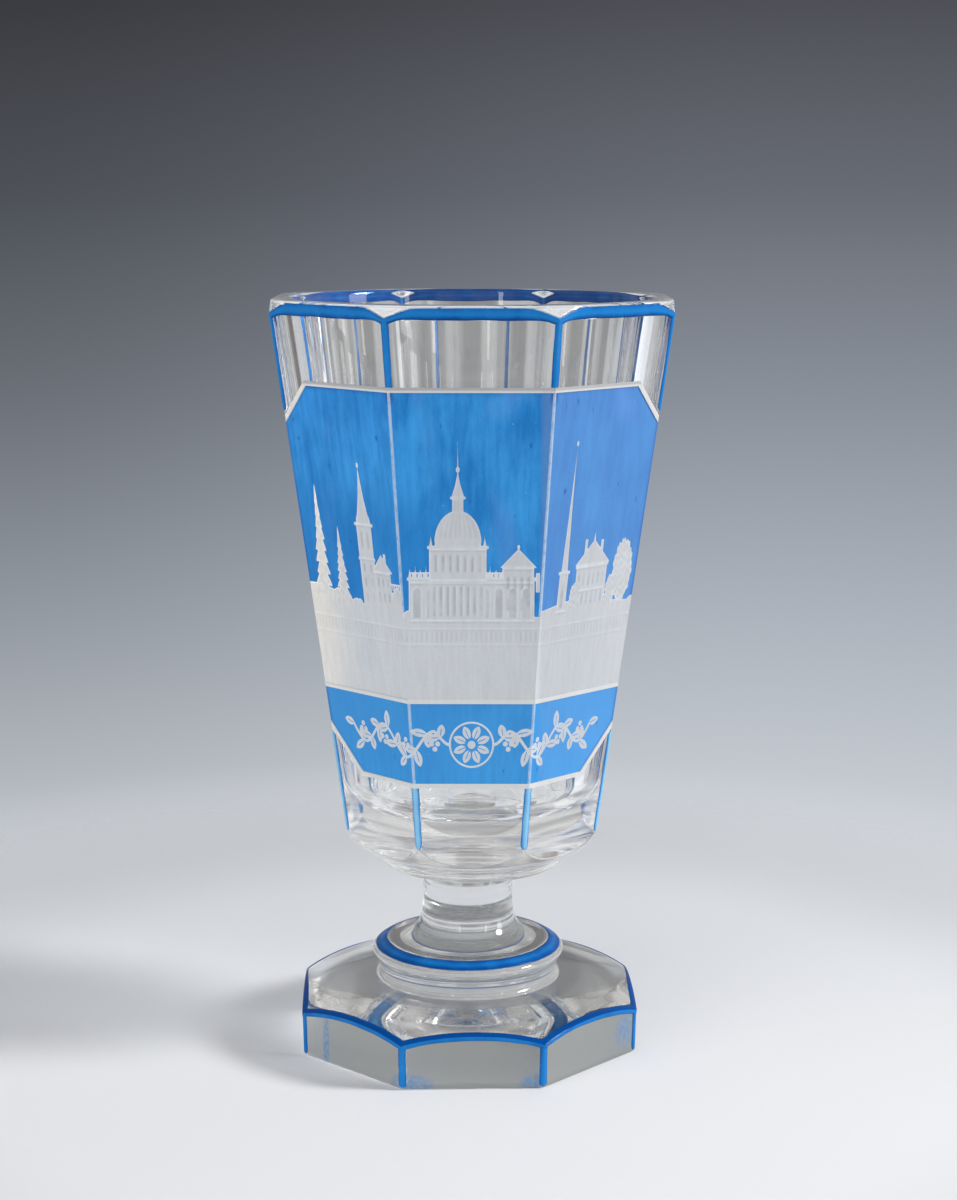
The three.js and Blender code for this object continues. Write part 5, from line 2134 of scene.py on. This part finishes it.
def window_light(tree, azimuth, z, middle, half, low, high, strength):
    """A soft-edged upright panel of light between two heights of the room."""
    off = math_node(tree, "ABSOLUTE", math_node(tree, "SUBTRACT", azimuth, math.radians(middle)))
    beside = ramp_value(tree, off, math.radians(half), math.radians(half) * 0.75)
    above = ramp_value(tree, z, low - SOFT_END, low + SOFT_END)
    below = ramp_value(tree, z, high + SOFT_END, high - SOFT_END)
    return times(tree, times(tree, times(tree, beside, above), below), strength)


def level_colour(tree, z, table):
    """The colour of a table of levels at the upward part of the direction."""
    sockets = {"Value": z, "From Min": LOWEST, "From Max": HIGHEST}
    ramp = add_node(tree, "ValToRGB", {"Fac": result(tree, "MapRange", sockets)})
    stops = ramp.color_ramp.elements
    while len(stops) < len(table):
        stops.new(0.5)
    for stop, (level, colour) in zip(stops, table):
        stop.position = (level - LOWEST) / (HIGHEST - LOWEST)
        stop.color = (*colour, 1)
    return ramp.outputs["Color"]


def shown_backdrop(tree, x, z):
    """What the camera sees: a backdrop that darkens upwards, and a little towards the left."""
    leftward = ramp_value(tree, x, *DARKER_LEFT)
    upward = ramp_value(tree, z, *DARKER_UP, 0.0, DARKENING)
    strength = math_node(tree, "SUBTRACT", 1.0, times(tree, leftward, upward))
    sockets = {"Color": level_colour(tree, z, BACKDROP), "Strength": strength}
    return result(tree, "Background", sockets)


def mirrored_studio(tree, x, y, z):
    """What mirror and glass show: a backdrop behind, and in front a room with bright windows.

    Upright bright and dark stripes lie over the middle heights of both.
    """
    behind = ramp_value(tree, y, *FRONT_TO_BACK)
    front, back = level_colour(tree, z, STUDIO_FRONT), level_colour(tree, z, STUDIO_BACK)
    flat = result(tree, "CombineXYZ", {0: x, 1: y, 2: 0.0})
    around_room = result(tree, "VectorMath", {0: flat}, operation="NORMALIZE")
    sockets = {"Vector": around_room, "Scale": STRIPE_RATE, "Detail": 3.0}
    stripes = add_node(tree, "TexNoise", sockets).outputs["Fac"]
    stripe = ramp_value(tree, stripes, 0.38, 0.62, *STRIPE_STRENGTHS)
    striped = ramp_value(tree, z, *STRIPES_BEGIN)
    striped = times(tree, striped, ramp_value(tree, z, *STRIPES_END))
    strength = times(tree, stripe, striped, math_node(tree, "SUBTRACT", 1.0, striped))
    azimuth = math_node(tree, "ARCTAN2", y, x)
    for window in WINDOWS:
        strength = math_node(tree, "ADD", strength, window_light(tree, azimuth, z, *window))
    door = window_light(tree, azimuth, z, *DOOR)
    colour = mix(tree, door, mix(tree, behind, front, back), DOOR_TINT)
    return result(tree, "Background", {"Color": colour, "Strength": strength})


def world():
    """A backdrop for the camera and a studio for mirror and glass. Other light is a plain fill."""
    made = bpy.data.worlds.new("studio")
    bpy.context.scene.world = made
    made.use_nodes = True
    tree = made.node_tree
    tree.nodes.clear()
    output = tree.nodes.new("ShaderNodeOutputWorld")
    direction = add_node(tree, "TexCoord").outputs["Generated"]
    x, y, z = add_node(tree, "SeparateXYZ", {0: direction}).outputs
    fill = result(tree, "Background", {"Color": AMBIENT_TINT, "Strength": AMBIENT})
    path = add_node(tree, "LightPath").outputs
    through = math_node(tree, "MAXIMUM", path["Is Glossy Ray"], path["Is Transmission Ray"])
    seen = mix_shaders(tree, through, fill, mirrored_studio(tree, x, y, z))
    seen = mix_shaders(tree, path["Is Camera Ray"], seen, shown_backdrop(tree, x, z))
    tree.links.new(seen, output.inputs["Surface"])


# The table's colours near and far and its painted shadow under the foot, and in mm its radius and
# its gap to the foot
TABLE = (0.675, 0.68, 0.70)
TABLE_FAR = (0.605, 0.62, 0.65)
UNDER_FOOT_SHADOW = (0.22, 0.225, 0.235)
FLOOR_RADIUS = 900.0
FLOOR_GAP = 0.1

# Where the foot's shade ends and the table fades out by distance in mm from the foot's middle,
# and where the table darkens by y in mm
SHADE_EDGE = (27.5, 29.5)
TABLE_FADE = (90.0, 235.0)
TABLE_DARKENS = (-55.0, 90.0)


def table_top(tree):
    """A pale table that darkens and fades out into the backdrop away from the beaker, with a painted
    shadow under the foot.
    """
    x, y, _ = place_in_mm(tree)
    off = result(tree, "CombineXYZ", {0: math_node(tree, "SUBTRACT", x, SEAT_OFFSET), 1: y})
    distance = add_node(tree, "VectorMath", {0: off}, operation="LENGTH").outputs["Value"]
    colour = mix(tree, ramp_value(tree, y, *TABLE_DARKENS), TABLE, TABLE_FAR)
    sockets = {
        # Painted shadow under the foot
        "Base Color": mix(tree, ramp_value(tree, distance, *SHADE_EDGE), UNDER_FOOT_SHADOW, colour),
        "Roughness": 0.7,
        "Specular IOR Level": 0.2,
        "Alpha": ramp_value(tree, distance, *TABLE_FADE, 1.0, 0.0),
    }
    return result(tree, "BsdfPrincipled", sockets)


def floor():
    """A thin round table top: rows from the middle of its upper face to that of its underside."""
    radius = FLOOR_RADIUS * np.array([0, 0.25, 0.5, 1, 0])
    angle = np.linspace(0, 2 * math.pi, 64, endpoint=False)[None]
    height = np.array([-FLOOR_GAP] * 4 + [-FLOOR_GAP - 1])
    rows = polar(radius[:, None], angle, height[:, None])[::-1]
    table = turned_piece("table", rows, [new_material("pale_table", table_top)])


def lamp(name, place, aim, size, power, colour=(1, 1, 1), mirrored=False):
    """A softbox at a place in mm, turned to face an aim point, which may show in the glass."""
    data = bpy.data.lights.new(name, "AREA")
    data.shape = "ELLIPSE"
    data.size, data.size_y = size[0] * MM, size[1] * MM
    data.energy = power
    data.color = colour
    holder = bpy.data.objects.new(name, data)
    holder.location = Vector(place) * MM
    away = holder.location - Vector(aim) * MM
    holder.rotation_euler = away.to_track_quat("Z", "Y").to_euler()
    holder.visible_glossy = holder.visible_transmission = mirrored
    bpy.context.scene.collection.objects.link(holder)


camera()
world()
floor()
lamp("key_softbox", (1123, -178, 630), (0, 0, 0), (330, 330), 23.0, mirrored=True)
lamp("left_window", (-700, -650, 200), (0, 0, 70), (360, 360), 4.0, (1.0, 0.985, 0.96))
lamp("front_fill", (-300, -900, 220), (0, 0, 60), (600, 300), 3.5)

bowl_piece()
stem_piece()
collar_piece()
foot_piece()
enamel_lines()
for facet_place in SIDE_OF:
    picture(facet_place)
    lower_band(facet_place)

# The panel's outline keeps its CAD shape and takes the matte's look
for name, node in frame["nodes"].items():
    if name.startswith("etched_line"):
        node.data.materials.clear()
        node.data.materials.append(ETCHED_OUTLINE)

# Thick glass needs many bounces, and the clear seams many transparent ones
settings = bpy.context.scene
settings.view_settings.view_transform = "Standard"
settings.cycles.max_bounces = 24
settings.cycles.transmission_bounces = 24
settings.cycles.glossy_bounces = 12
settings.cycles.transparent_max_bounces = 48
